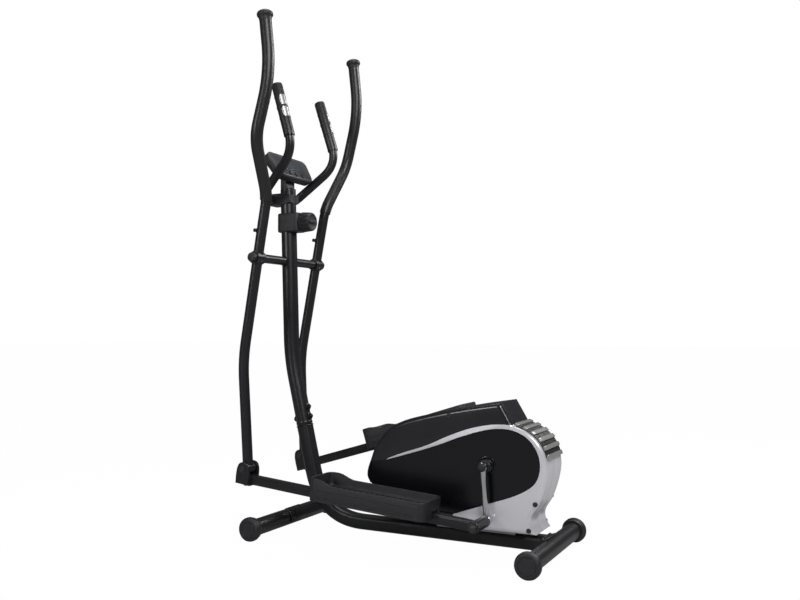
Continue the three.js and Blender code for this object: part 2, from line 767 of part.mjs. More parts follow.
// One crank arm, drawn pointing straight up from its hub at the origin.
function crankArm() {
  const outline = [];
  const arcPoints = (z, from) => {
    for (let i = 0; i <= 6; i += 1) {
      const angle = (from + i * 30) * degree;
      outline.push([crankEyeRadius * Math.cos(angle), z + crankEyeRadius * Math.sin(angle)]);
    }
  };
  arcPoints(crankRadius, 0);
  outline.push([-crankWaist, crankRadius - 36], [-crankWaist + 1, crankRadius / 2], [-crankWaist, 36]);
  arcPoints(0, 180);
  outline.push([crankWaist, 36], [crankWaist - 1, crankRadius / 2], [crankWaist, crankRadius - 36]);
  const arm = sidePlate(outline, crankInnerX, crankInnerX + crankThickness, 4);
  return cut(arm, rod(axleRadius + gap, crankInnerX - 5, crankInnerX + crankThickness + 5, 0, 0));
}

function drivePulley() {
  const half = pulleyWidth / 2;
  const rim = pulleyRadius - 8;
  const bore = axleRadius + gap;
  const profile = [[bore, -half - 4], [bore + 14, -half - 4], [bore + 14, -3], [rim, -3], [rim, -half],
    [pulleyRadius, -half], [pulleyRadius, half], [rim, half], [rim, 3], [bore + 14, 3], [bore + 14, half + 4],
    [bore, half + 4], [bore, -half - 4]];
  return turned(profile, [pulleyX, 0, 0], [1, 0, 0], 32);
}

function flywheel() {
  const half = flywheelWidth / 2;
  const hub = smallPulleyRadius;
  const bore = flywheelAxleRadius + gap;
  const reach = flywheelX - pulleyX + pulleyWidth / 2;
  const rim = flywheelRadius - 26;
  const profile = [[bore, -reach], [hub, -reach], [hub, -reach + pulleyWidth], [hub, -5], [rim, -5],
    [rim, -half], [flywheelRadius, -half], [flywheelRadius, half], [rim, half],
    [rim, 5], [hub, 5], [hub, half + 4], [bore, half + 4], [bore, -reach]];
  return turned(profile, [flywheelX, flywheelY, flywheelZ], [1, 0, 0], 32);
}

function beltOutline(extra) {
  const big = pulleyRadius + extra;
  const small = smallPulleyRadius + extra;
  const dy = flywheelY - crankY;
  const dz = flywheelZ - crankZ;
  const axis = Math.atan2(dz, dy);
  const open = Math.acos((big - small) / Math.hypot(dy, dz));
  const outline = [];
  const arc = (y, z, radius, from, to, steps) => {
    for (let i = 0; i <= steps; i += 1) {
      const angle = from + ((to - from) * i) / steps;
      outline.push([y + radius * Math.cos(angle), z + radius * Math.sin(angle)]);
    }
  };
  arc(crankY, crankZ, big, axis + open, axis + 2 * Math.PI - open, 28);
  arc(flywheelY, flywheelZ, small, axis - open, axis + open, 8);
  return outline;
}

function driveBelt() {
  const half = pulleyWidth / 2 - 1;
  const loop = sidePlate(beltOutline(beltSlack + beltThickness), pulleyX - half, pulleyX + half);
  return cut(loop, sidePlate(beltOutline(beltSlack), pulleyX - pulleyWidth, pulleyX + pulleyWidth));
}

function magnetPivot() {
  const radius = flywheelRadius + magnetGap + magnetThickness / 2;
  const angle = 80 * degree;
  return [flywheelY + radius * Math.cos(angle), flywheelZ + radius * Math.sin(angle)];
}

function driveBracket() {
  const [magnetY, magnetZ] = magnetPivot();
  const outline = [[crankY - 55, bracketBaseTop - 2], [-560, bracketBaseTop - 2],
    [flywheelY + 40, flywheelZ - 60], [magnetY + 22, magnetZ - 40], [magnetY + 14, magnetZ + 14],
    [magnetY - 20, magnetZ + 14], [flywheelY - 40, flywheelZ + 50], [crankY + 30, crankZ + 42],
    [crankY - 30, crankZ + 42], [crankY - 45, crankZ]];
  const right = sidePlate(outline, bracketX, bracketX + bracketWall);
  const left = sidePlate(outline, -bracketX - bracketWall, -bracketX);
  const base = box(-60, 60, crankY - 80, -562, bracketBaseTop - bracketBaseWall, bracketBaseTop);
  const beamTop = beamZ + beamHeight / 2;
  const foot = box(-20, 20, crankY - 80, -562, beamTop + gap, bracketBaseTop - bracketBaseWall / 2);
  return cut(join(left, right, base, foot),
    rod(bearingRadius + gap, -60, 60, crankY, crankZ, 24),
    rod(flywheelAxleRadius + gap, -60, 60, flywheelY, flywheelZ),
    rod(magnetPinRadius + gap, -60, 60, magnetY, magnetZ));
}

function crankBearing() {
  const inner = axleRadius + gap;
  const x0 = bracketX - 2;
  const profile = [[inner, 0], [bearingRadius, 0], [bearingRadius, 12], [inner, 12], [inner, 0]];
  return turned(profile, [x0, crankY, crankZ], [1, 0, 0], 24);
}

function flywheelAxle() {
  const reach = bracketX + bracketWall + gap;
  const shaft = rod(flywheelAxleRadius, -reach - 9, reach + 9, flywheelY, flywheelZ);
  const nuts = [-1, 1].map((side) => rod(9, side > 0 ? reach : -reach - 7, side > 0 ? reach + 7 : -reach,
    flywheelY, flywheelZ, 6));
  return join(shaft, ...nuts);
}

// An arc of magnets on a hinged bracket, wrapped round the front of the flywheel.
function magnetBracket() {
  const inner = flywheelRadius + magnetGap;
  const outer = inner + magnetThickness;
  const outline = [];
  for (let i = 0; i <= 8; i += 1) {
    const angle = (8 + i * 9.5) * degree;
    outline.push([flywheelY + outer * Math.cos(angle), flywheelZ + outer * Math.sin(angle)]);
  }
  for (let i = 8; i >= 0; i -= 1) {
    const angle = (8 + i * 9.5) * degree;
    outline.push([flywheelY + inner * Math.cos(angle), flywheelZ + inner * Math.sin(angle)]);
  }
  const [y, z] = magnetPivot();
  const half = flywheelWidth / 2;
  const arc = sidePlate(outline, flywheelX - half, flywheelX + half);
  return join(arc, rod(magnetPinRadius, -bracketX - bracketWall, bracketX + bracketWall, y, z));
}

function buildDrive() {
  addPiece('drive_bracket', driveBracket(), 'steel');
  addPiece('left_crank_bearing', mirrored(crankBearing()), 'steel');
  addPiece('right_crank_bearing', crankBearing(), 'steel');
  addPiece('flywheel_axle', flywheelAxle(), 'steel');
  addPiece('flywheel', flywheel(), 'castIron');
  addPiece('magnet_bracket', magnetBracket(), 'steel');
  addPiece('drive_belt', driveBelt(), 'belt');
  const crank = new THREE.Group();
  crank.position.set(0, crankY, crankZ);
  crank.rotation.x = -crankLean;
  model.add(crank);
  const axleReach = crankInnerX + crankThickness - 3;
  addPiece('crank_axle', rod(axleRadius, -axleReach, axleReach, 0, 0), 'steel', crank);
  addPiece('drive_pulley', drivePulley(), 'blackPlastic', crank);
  const arm = crankArm();
  addPiece('right_crank_arm', arm, 'chrome', crank);
  addPiece('left_crank_arm', solidOf(geometryOf(arm).rotateY(Math.PI)), 'chrome', crank);
}

// ---------------------------------------------------------------- cover

// The cover's side view, anticlockwise from the bottom of its nose.
const coverOutline = [[-345, 178], [-335, 200], [-350, 255], [-368, 297], [-408, 341], [-446, 363],
  [-542, 391], [-670, 418], [-761, 433], [-797, 372], [-839, 355], [-866, 334], [-886, 302], [-894, 265],
  [-891, 230], [-869, 160], [-845, 114], [-838, 95], [-858, coverBottomZ], [-600, coverBottomZ], [-470, 112]];

// The seam between the black top and the silver band, from the nose back to the notch.
const bandOuter = [[-410, 256], [-460, 275], [-536, 301], [-600, 330], [-660, 353], [-710, 366], [-753, 372],
  [-797, 371.9]];

// The edge of the black side panel inside the band, from the nose over the top to the foot.
const panelTop = [[-404, 251], [-470, 271], [-576, 306], [-640, 331], [-700, 350], [-753, 360], [-800, 357],
  [-841, 337], [-868, 300], [-875, 259], [-862, 219], [-825, 190], [-719, 148], [-618, 112]];

function buildCover() {
  const ccw = coverOutline.slice();
  const body = sidePlate(ccw, -coverHalfWidth, coverHalfWidth, coverBevel);
  const cavity = sidePlate(inset(ccw, coverWall), -coverHalfWidth + coverWall, coverHalfWidth - coverWall,
    coverBevel - coverWall / 2);
  const floorSlot = box(-50, 50, crankY - 82, flywheelY - 10, coverBottomZ - 5, coverBottomZ + 25);
  const shell = cut(body, cavity, floorSlot);
  const silverMask = [...bandOuter, [-1000, 371.9], [-1000, 0], [-618, 0], ...panelTop.slice().reverse()];
  const silverArea = sidePlate(silverMask, -coverHalfWidth - 10, coverHalfWidth + 10);
  const wideSilver = sidePlate(inset(silverMask, -gap), -coverHalfWidth - 10, coverHalfWidth + 10);
  const inner = inset(ccw, 2 * coverWall);
  const panelEdge = [...panelTop, ...inner.slice(20), ...inner.slice(0, 3)];
  const panelHole = sidePlate(panelEdge, coverHalfWidth - coverBevel, coverHalfWidth + 10);
  const panelX = coverHalfWidth - panelRecess;
  const panelPlate = sidePlate(inset(panelEdge, gap), panelX - panelWall, panelX);
  const rightHalf = box(gap / 2, coverHalfWidth + 20, -1000, 0, 0, 600);
  const crankHole = rod(crankHoleRadius, 0, 2 * coverHalfWidth, crankY, crankZ, 24);
  const silver = shell.intersect(rightHalf).intersect(silverArea);
  const black = cut(shell.intersect(rightHalf), wideSilver, panelHole);
  addPair('cover_silver', silver, 'coverSilver');
  addPair('cover_black', black, 'coverBlack');
  addPair('side_panel', cut(panelPlate, crankHole), 'coverBlack');
}

// ---------------------------------------------------------------- fixed handlebar

function barRoute() {
  const right = [[barBendX, barY, barZ], [barLowX, barLowY, barLowZ], [barTopX, barTopY, barTopZ]];
  const left = right.map(([x, y, z]) => [-x, y, z]).reverse();
  return bentRoute([...left, ...right], [barLowBend, barBend, barBend, barLowBend]);
}

function barGrip() {
  const route = barRoute();
  const length = route.getLength();
  const outer = barRadius + gap + barGripFoam;
  const sleeve = sleeveAlong(route.slice(length - barGripLength, length), barRadius, outer);
  const along = new THREE.Vector3(barTopX - barLowX, barTopY - barLowY, barTopZ - barLowZ);
  const profile = [[0, 8], [outer - 8, 7], [outer - 2, 3], [outer, -1], [outer - 1, -1],
    [barRadius + gap, gap], [0, gap]];
  const end = turned(profile, [barTopX, barTopY, barTopZ], along.toArray(), roundSides);
  return join(sleeve, end);
}

function pulseSensor() {
  const route = barRoute();
  const end = route.getLength() - sensorFromTop;
  const outer = barRadius + gap + barGripFoam;
  return sleeveAlong(route.slice(end - sensorLength, end), outer, outer + gap + sensorWall);
}

function handlebarClamp() {
  const mastY = mastYAt(barZ);
  const block = box(-clampHalfWidth, clampHalfWidth, mastY, barY + barRadius + gap + clampWall,
    barZ - barRadius - clampWall, barZ + barRadius + clampWall);
  const barSpace = rod((barRadius + gap) / Math.cos(Math.PI / roundSides), -60, 60, barY, barZ, roundSides);
  return cut(block, mastSpace(barZ, 60), barSpace);
}

function clampKnob() {
  const start = barY + barRadius + clampWall + 2 * gap;
  const radius = clampKnobRadius;
  return turned([[0, 0], [8, 0], [8, 4], [radius - 1, 4], [radius, 6], [radius, clampKnobLength - 3],
    [radius - 3, clampKnobLength], [0, clampKnobLength]], [0, start, barZ], [0, 1, 0], 14);
}

function buildHandlebar() {
  addPiece('fixed_handlebar', tubeAlong(barRoute(), barRadius, wall), 'powderCoat');
  addPair('handlebar_grip', barGrip(), 'foam');
  addPair('pulse_sensor', pulseSensor(), 'sensor');
  addPiece('handlebar_clamp', handlebarClamp(), 'blackPlastic');
  addPiece('clamp_knob', clampKnob(), 'blackPlastic');
}

// ---------------------------------------------------------------- tension control

function tensionHousing() {
  const outline = new THREE.Shape(roundedPoints(2 * housingHalfWidth, housingFrontY - housingRearY, 20));
  const geometry = new THREE.ExtrudeGeometry(outline, { depth: 2 * housingHalfHeight, bevelEnabled: false });
  geometry.translate(0, (housingFrontY + housingRearY) / 2, knobZ - housingHalfHeight);
  return cut(solidOf(geometry), mastSpace(knobZ, 60));
}

function tensionKnob() {
  const radius = knobRadius;
  const profile = [[0, 0], [radius - 2, 0], [radius, 3], [radius - 2, knobLength - 8],
    [radius - 8, knobLength], [0, knobLength]];
  const body = turned(profile, [0, housingRearY - gap, knobZ], [0, -1, 0], 30);
  const flutes = Array.from({ length: knobFlutes }, (_, i) => {
    const angle = (i * 2 * Math.PI) / knobFlutes;
    const x = (radius + 3) * Math.cos(angle);
    const z = knobZ + (radius + 3) * Math.sin(angle);
    return rodBetween([x, housingRearY - 12, z], [x, housingRearY - knobLength - 5, z], 5.5, 8);
  });
  return cut(body, ...flutes);
}

function buildTension() {
  addPiece('tension_housing', tensionHousing(), 'blackPlastic');
  addPiece('tension_knob', tensionKnob(), 'blackPlastic');
}

// ---------------------------------------------------------------- console
// Drawn lying flat: X across, Y up its face, Z out of its face, the face's lower edge on y = 0, z = 0.

function consoleBlock(width, y0, y1, z0, z1, corner, spread = 0) {
  const height = y1 - y0;
  const points = roundedPoints(width, height, corner);
  points.forEach((point) => {
    point.x *= 1 + (spread * point.y) / (width * height);
  });
  const options = { depth: z1 - z0, bevelEnabled: false };
  const geometry = new THREE.ExtrudeGeometry(new THREE.Shape(points), options);
  geometry.translate(0, (y0 + y1) / 2, z0);
  return solidOf(geometry);
}

// A slab of the console's own outline, drawn in by a margin.
function consoleSlab(margin, z0, z1) {
  const width = (consoleLowWidth + consoleTopWidth) / 2 - 2 * margin;
  const spread = consoleTopWidth - consoleLowWidth;
  return consoleBlock(width, margin, consoleHeight - margin, z0, z1, 22 - margin, spread);
}

function consoleBack() {
  const outer = consoleSlab(0, -consoleDepth, -consoleFrontThickness - gap);
  return cut(outer, consoleSlab(consoleWall, -consoleDepth + consoleWall, 0));
}

function buttonAt(index, radius, z0, z1) {
  const x = (index - 1) * buttonPitch;
  return rodBetween([x, buttonRise, z0], [x, buttonRise, z1], radius, 16);
}

function consoleFront() {
  const plate = consoleSlab(0, -consoleFrontThickness, 0);
  const lensMiddle = consoleHeight / 2 + 10;
  const seat = consoleBlock(lensWidth + 2 * gap, lensMiddle - lensHeight / 2 - gap,
    lensMiddle + lensHeight / 2 + gap, -lensThickness - gap, 5, 5);
  const sockets = [0, 1, 2].map((i) => buttonAt(i, buttonRadius + gap, -consoleFrontThickness + 1, 5));
  return cut(plate, seat, ...sockets);
}

function consoleLens() {
  const middle = consoleHeight / 2 + 10;
  return consoleBlock(lensWidth, middle - lensHeight / 2, middle + lensHeight / 2, -lensThickness, 0, 4.5);
}

// The wedge between the mast's top and the console's back, with a plug down the mast.
function consoleBracket() {
  const tilt = consoleTilt * degree;
  const along = [Math.cos(tilt), Math.sin(tilt)];
  const behind = consoleDepth + gap;
  const backY = consoleLowY + along[1] * behind;
  const backZ = consoleLowZ - along[0] * behind;
  const back = (s) => [backY + along[0] * s, backZ + along[1] * s];
  const low = back(8);
  const high = back(52);
  const wedge = sidePlate([[low[0], mastTopZ + gap], [high[0], mastTopZ + gap], high, low], -24, 24);
  const plug = rodBetween([0, mastYAt(mastTopZ - 30), mastTopZ - 30], [0, mastTopY, mastTopZ + 2],
    insideOf(mastRadius - mastWall, mastSides), mastSides);
  return join(wedge, plug);
}

function buildConsole() {
  addPiece('console_bracket', consoleBracket(), 'blackPlastic');
  const stand = new THREE.Group();
  stand.position.set(0, consoleLowY, consoleLowZ);
  stand.rotation.x = consoleTilt * degree;
  model.add(stand);
  addPiece('console_back', consoleBack(), 'blackPlastic', stand);
  addPiece('console_front', consoleFront(), 'blackPlastic', stand);
  addPiece('console_lens', consoleLens(), 'lens', stand);
  const names = ['mode_button', 'set_button', 'reset_button'];
  names.forEach((name, i) => {
    addPiece(name, buttonAt(i, buttonRadius, buttonProud - buttonLength, buttonProud), 'blackPlastic', stand);
  });
}

// ---------------------------------------------------------------- the whole trainer

buildFrame();
buildShaft();
buildSwingArms();
buildPedals();
buildDrive();
buildCover();
buildHandlebar();
buildTension();
buildConsole();

const noseDepth = pedalTubeFrontDrop + pedalTubeHeight / 2;
const frontReach = pivotY + pedalNose * Math.cos(leftPedalTurn) + noseDepth * Math.sin(leftPedalTurn);
const rearReach = -rearStabilizerY + capRadius;
model.position.y = (rearReach - frontReach) / 2;
model.updateMatrixWorld(true);

export default model;
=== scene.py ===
import json
import math
import bmesh
import bpy
from mathutils import Matrix, Vector


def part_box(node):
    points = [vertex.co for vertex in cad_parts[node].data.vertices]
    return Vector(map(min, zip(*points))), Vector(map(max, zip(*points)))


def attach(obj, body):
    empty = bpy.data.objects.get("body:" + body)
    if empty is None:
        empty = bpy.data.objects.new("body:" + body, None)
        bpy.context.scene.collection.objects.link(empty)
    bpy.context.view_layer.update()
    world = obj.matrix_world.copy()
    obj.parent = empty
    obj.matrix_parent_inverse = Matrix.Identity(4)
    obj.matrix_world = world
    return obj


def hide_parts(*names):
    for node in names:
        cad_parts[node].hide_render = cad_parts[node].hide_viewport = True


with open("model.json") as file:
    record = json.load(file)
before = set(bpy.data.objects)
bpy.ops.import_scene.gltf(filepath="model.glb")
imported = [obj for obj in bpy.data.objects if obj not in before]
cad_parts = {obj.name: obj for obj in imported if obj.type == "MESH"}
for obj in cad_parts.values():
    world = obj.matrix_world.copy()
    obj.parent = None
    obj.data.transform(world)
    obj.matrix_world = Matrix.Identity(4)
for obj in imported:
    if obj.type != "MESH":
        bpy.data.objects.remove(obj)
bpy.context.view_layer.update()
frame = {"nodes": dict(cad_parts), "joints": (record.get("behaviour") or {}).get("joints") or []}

# Elliptical trainer: smooth tubes, covers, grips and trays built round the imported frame, in metres.
# +X is the rider's right, +Y the way the rider faces, +Z up.

joints = {row["name"]: Vector(row["pos_m"]) for row in frame["joints"] if row.get("pos_m")}
shaftY, shaftZ = joints["left_swing"].y, joints["left_swing"].z
crankHub = joints["crank_spin"]
sides = {"left": -1, "right": 1}
fitGap = 0.0003
print("frame loaded:", len(frame["nodes"]), "nodes")


# shapes

def at(x, y, z):
    # a point whose y counts from the cross shaft
    return Vector((x, shaftY + y, z))


def circle(radius, count=40):
    step = 2 * math.pi / count
    return [(radius * math.cos(step * i), radius * math.sin(step * i)) for i in range(count)]


def roundedRect(width, height, corner, steps=6):
    points = []
    for sx, sy, start in ((1, 1, 0), (-1, 1, 90), (-1, -1, 180), (1, -1, 270)):
        for i in range(steps + 1):
            angle = math.radians(start + 90 * i / steps)
            points.append((sx * (width / 2 - corner) + corner * math.cos(angle),
                           sy * (height / 2 - corner) + corner * math.sin(angle)))
    return points


def bentRoute(corners, bends, facets=14):
    # straight runs with each inner corner rounded by a bend of a given tangent length
    route = [corners[0].copy()]
    for i in range(1, len(corners) - 1):
        corner = corners[i]
        start = corner + (corners[i - 1] - corner).normalized() * bends[i - 1]
        end = corner + (corners[i + 1] - corner).normalized() * bends[i - 1]
        for k in range(facets + 1):
            t = k / facets
            route.append(start * (1 - t) ** 2 + corner * (2 * t * (1 - t)) + end * t ** 2)
    route.append(corners[-1].copy())
    return route


def routeLength(route):
    return sum((b - a).length for a, b in zip(route, route[1:]))


def routePart(route, start, end):
    # the stretch of a route between two distances from its beginning
    part = []
    run = 0
    for a, b in zip(route, route[1:]):
        length = (b - a).length
        if run <= start < run + length:
            part.append(a.lerp(b, (start - run) / length))
        elif start < run < end:
            part.append(a.copy())
        if run < end <= run + length + 1e-9:
            part.append(a.lerp(b, (end - run) / length))
        run += length
    return part


def skin(bm, rings, closed=True):
    # faces between rings of points; a ring of one point is a tip
    for a, b in zip(rings, rings[1:]):
        count = max(len(a), len(b))
        for i in range(count):
            j = (i + 1) % count
            if len(a) == 1:
                bm.faces.new((a[0], b[j], b[i]))
            elif len(b) == 1:
                bm.faces.new((a[i], a[j], b[0]))
            else:
                bm.faces.new((a[i], a[j], b[j], b[i]))
    if closed:
        for ring in (rings[0], rings[-1]):
            if len(ring) > 2:
                bm.faces.new(ring)


def sweep(bm, route, section, level=False, scales=None):
    # a section carried along a route; level keeps its width along X
    last = len(route) - 1
    side = Vector((1, 0, 0))
    rings = []
    for i, point in enumerate(route):
        tangent = (route[min(i + 1, last)] - route[max(i - 1, 0)]).normalized()
        if i == 0 and abs(tangent.x) > 0.9:
            side = Vector((0, 1, 0))
        if level:
            side = Vector((1, 0, 0))
        side = (side - tangent * side.dot(tangent)).normalized()
        up = tangent.cross(side)
        size = scales[i] if scales else 1
        rings.append([bm.verts.new(point + side * x * size + up * y * size) for x, y in section])
    skin(bm, rings)


def turn(bm, profile, origin, axis, count=48, loop=False):
    # a turned shape; profile rows are (radius, distance along the axis)
    axis = Vector(axis).normalized()
    toAxis = Vector((0, 0, 1)).rotation_difference(axis).to_matrix()
    rings = []
    for radius, height in profile:
        if radius == 0:
            rings.append([bm.verts.new(Vector(origin) + axis * height)])
        else:
            rings.append([bm.verts.new(Vector(origin) + toAxis @ Vector((x, y, height)))
                          for x, y in circle(radius, count)])
    if loop:
        rings.append(rings[0])
    skin(bm, rings, closed=not loop)


def rod(bm, start, end, radius, edge=0.001, count=40):
    # a round bar with softened ends
    axis = Vector(end) - Vector(start)
    length = axis.length
    turn(bm, [(0, 0), (radius - edge, 0), (radius, edge), (radius, length - edge),
              (radius - edge, length), (0, length)], start, axis, count)


def disc(bm, radius, low, high, place, axis, count=32):
    # a flat disc between two distances along its axis
    turn(bm, [(0, low), (radius, low), (radius, high), (0, high)], place, axis, count)


def bush(bm, bore, radius, half, place):
    # a bored sleeve along X with softened edges
    edge = 0.0015
    turn(bm, [(bore, -half), (radius - edge, -half), (radius, -half + edge), (radius, half - edge),
              (radius - edge, half), (bore, half)], place, (1, 0, 0), 56, loop=True)


def inset(outline, distance):
    # an anticlockwise outline moved inward
    result = []
    count = len(outline)
    for i, (u, v) in enumerate(outline):
        before = Vector(outline[i - 1])
        after = Vector(outline[(i + 1) % count])
        here = Vector((u, v))
        a = (here - before).normalized()
        b = (after - here).normalized()
        normal = Vector((-a.y - b.y, a.x + b.x))
        reach = 2 * distance / max(normal.length_squared, 0.4)
        result.append((u + normal.x * reach, v + normal.y * reach))
    return untangled(result) if distance else result


def untangled(outline):
    # where an inset crosses itself at a tight corner, the loop is drawn together into one point
    count = len(outline)
    for i in range(count):
        for k in range(2, 14):
            a, b = outline[i], outline[(i + 1) % count]
            c, d = outline[(i + k) % count], outline[(i + k + 1) % count]
            if i == (i + k + 1) % count:
                continue
            across = (b[0] - a[0]) * (d[1] - c[1]) - (b[1] - a[1]) * (d[0] - c[0])
            if abs(across) < 1e-14:
                continue
            t = ((c[0] - a[0]) * (d[1] - c[1]) - (c[1] - a[1]) * (d[0] - c[0])) / across
            w = ((c[0] - a[0]) * (b[1] - a[1]) - (c[1] - a[1]) * (b[0] - a[0])) / across
            if 0 < t < 1 and 0 < w < 1:
                meet = (a[0] + t * (b[0] - a[0]), a[1] + t * (b[1] - a[1]))
                for m in range(1, k + 1):
                    outline[(i + m) % count] = meet
    return outline


def acrossX(u, v, w):
    return Vector((w, u, v))


def alongY(u, v, w):
    return Vector((u, w, v))


def upZ(u, v, w):
    return Vector((u, v, w))


def plate(bm, outline, low, high, bevel=0, steps=5, place=acrossX):
    # an outline given thickness, both its edges rounded over
    rows = []
    for i in range(steps + 1 if bevel else 1):
        angle = math.pi / 2 * i / steps
        rows.append((bevel * (1 - math.sin(angle)), bevel * (1 - math.cos(angle))))
    levels = [(d, low + w) for d, w in rows] + [(d, high - w) for d, w in reversed(rows)]
    rings = []
    for distance, w in levels:
        rings.append([bm.verts.new(place(u, v, w)) for u, v in inset(outline, distance)])
    skin(bm, rings)
    bmesh.ops.remove_doubles(bm, verts=[vert for ring in rings for vert in ring], dist=1e-6)


def smoothed(points, corners=(), steps=6, closed=True):
    # a soft curve through outline points, sharp only at the corners listed by index
    result = []
    count = len(points)
    for i in range(count if closed else count - 1):
        p1, p2 = Vector(points[i]), Vector(points[(i + 1) % count])
        p0 = Vector(points[i - 1]) if closed or i else p1
        p3 = Vector(points[(i + 2) % count]) if closed or i + 2 < count else p2
        span = (p2 - p1).length
        into = (p1 - p0).normalized() + (p2 - p1).normalized() if i not in corners else p2 - p1
        out = (p2 - p1).normalized() + (p3 - p2).normalized() if (i + 1) % count not in corners else p2 - p1
        m1 = into.normalized() * span if into.length else p2 - p1
        m2 = out.normalized() * span if out.length else p2 - p1
        for k in range(steps):
            t = k / steps
            h = (2 * t ** 3 - 3 * t ** 2 + 1, t ** 3 - 2 * t ** 2 + t, -2 * t ** 3 + 3 * t ** 2, t ** 3 - t ** 2)
            result.append(tuple(p1 * h[0] + m1 * h[1] + p2 * h[2] + m2 * h[3]))
    if not closed:
        result.append(tuple(points[-1]))
    return result


def boltHead(bm, place, axis, radius=0.0065, height=0.005):
    # a hex head on a washer
    axis = Vector(axis).normalized()
    disc(bm, radius * 1.45, 0, 0.0012, place, axis, 28)
    turn(bm, [(0, 0.001), (radius, 0.001), (radius, height), (radius * 0.82, height + 0.0012),
              (0, height + 0.0012)], place, axis, 6)


def sphereCap(radius, bottom, height, steps=6):
    # profile rows of a low dome
    rows = []
    for i in range(steps + 1):
        angle = math.pi / 2 * i / steps
        rows.append((radius * math.cos(angle) if i < steps else 0, bottom + height * math.sin(angle)))
    return rows


# pieces

def linked(name, data):
    piece = bpy.data.objects.new(name, data)
    bpy.context.scene.collection.objects.link(piece)
    return piece


def objectOf(name, bm):
    bmesh.ops.recalc_face_normals(bm, faces=bm.faces)
    mesh = bpy.data.meshes.new(name)
    bm.to_mesh(mesh)
    bm.free()
    return linked(name, mesh)


def platePiece(name, outline, low, high, bevel=0, steps=6, place=acrossX):
    bm = bmesh.new()
    low, high = sorted((low, high))
    plate(bm, outline, low, high, bevel, steps, place)
    return objectOf(name, bm)


def joined(piece, *extras):
    # loose pieces made part of another one's mesh
    bm = bmesh.new()
    bm.from_mesh(piece.data)
    for extra in extras:
        bm.from_mesh(extra.data)
        bpy.data.objects.remove(extra)
    bm.to_mesh(piece.data)
    bm.free()


def applied(piece):
    # the piece's modifiers made part of its mesh
    bpy.context.view_layer.update()
    graph = bpy.context.evaluated_depsgraph_get()
    mesh = bpy.data.meshes.new_from_object(piece.evaluated_get(graph))
    piece.modifiers.clear()
    piece.data = mesh
    return piece


def carve(piece, operation, tool):
    modifier = piece.modifiers.new("carve", "BOOLEAN")
    modifier.operation = operation
    modifier.solver = "EXACT"
    modifier.object = tool
    applied(piece)
    bpy.data.objects.remove(tool)


def rounded(piece, width, segments=3, angle=40):
    modifier = piece.modifiers.new("round", "BEVEL")
    modifier.width = width
    modifier.segments = segments
    modifier.limit_method = "ANGLE"
    modifier.angle_limit = math.radians(angle)
    modifier.use_clamp_overlap = True
    return applied(piece)


def settle(piece, body, slotName, nodes=(), sharp=38, look=None):
    # shading, finish and the body it moves with; look names a finish other than the slot's own
    mesh = piece.data
    bm = bmesh.new()
    bm.from_mesh(mesh)
    bmesh.ops.recalc_face_normals(bm, faces=bm.faces)
    for face in bm.faces:
        face.smooth = True
        face.material_index = 0
    for edge in bm.edges:
        edge.smooth = len(edge.link_faces) == 2 and edge.calc_face_angle(0) < math.radians(sharp)
    bm.to_mesh(mesh)
    bm.free()
    mesh.materials.clear()
    mesh.materials.append(finishes[look or slotName])
    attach(piece, body)
    if nodes:
        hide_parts(*nodes)
    return piece


# finishes

def nodeOf(tree, kind, sockets=None, **settings):
    # a node with its settings, each input given a value or a link
    node = tree.nodes.new(kind)
    for name, value in settings.items():
        setattr(node, name, value)
    for label, value in (sockets or {}).items():
        if isinstance(value, bpy.types.NodeSocket):
            tree.links.new(value, node.inputs[label])
        else:
            node.inputs[label].default_value = value
    return node


def mathNode(tree, operation, a, b=0.5, clamp=False):
    return nodeOf(tree, "ShaderNodeMath", {0: a, 1: b}, operation=operation, use_clamp=clamp).outputs[0]


def noiseNode(tree, vector, scale, detail, roughness=0.5):
    sockets = {"Vector": vector, "Scale": scale, "Detail": detail, "Roughness": roughness}
    return nodeOf(tree, "ShaderNodeTexNoise", sockets).outputs["Fac"]


def newTree(name, kind, inputs, outputs):
    # input rows are (label, socket kind, value), output rows (label, socket kind)
    tree = bpy.data.node_groups.new(name, kind)
    for label, socket, value in inputs:
        made = tree.interface.new_socket(name=label, in_out="INPUT", socket_type="NodeSocket" + socket)
        if value is not None:
            made.default_value = value
    for label, socket in outputs:
        tree.interface.new_socket(name=label, in_out="OUTPUT", socket_type="NodeSocket" + socket)
    return tree, tree.nodes.new("NodeGroupInput").outputs, tree.nodes.new("NodeGroupOutput").inputs


def buildGrain():
    # fine surface grain with a slow drift of gloss and tone
    tree, given, result = newTree("surfaceGrain", "ShaderNodeTree", [
        ("Vector", "Vector", (0, 0, 0)), ("Grain Scale", "Float", 900), ("Drift Scale", "Float", 9),
        ("Tone", "Float", 0.1), ("Roughness", "Float", 0.4), ("Spread", "Float", 0.08)],
        [("Tone", "Float"), ("Roughness", "Float"), ("Height", "Float")])
    grain = noiseNode(tree, given["Vector"], given["Grain Scale"], 3)
    drift = noiseNode(tree, given["Vector"], given["Drift Scale"], 3)
    both = mathNode(tree, "ADD", mathNode(tree, "MULTIPLY", grain, 0.35), mathNode(tree, "MULTIPLY", drift, 0.65))
    around = mathNode(tree, "SUBTRACT", both, 0.5)
    tone = mathNode(tree, "MULTIPLY", around, given["Tone"])
    spread = mathNode(tree, "MULTIPLY", around, given["Spread"])
    rough = mathNode(tree, "ADD", mathNode(tree, "MULTIPLY", spread, 2), given["Roughness"], True)
    tree.links.new(mathNode(tree, "ADD", mathNode(tree, "MULTIPLY", tone, 2), 1), result["Tone"])
    tree.links.new(rough, result["Roughness"])
    tree.links.new(grain, result["Height"])
    return tree


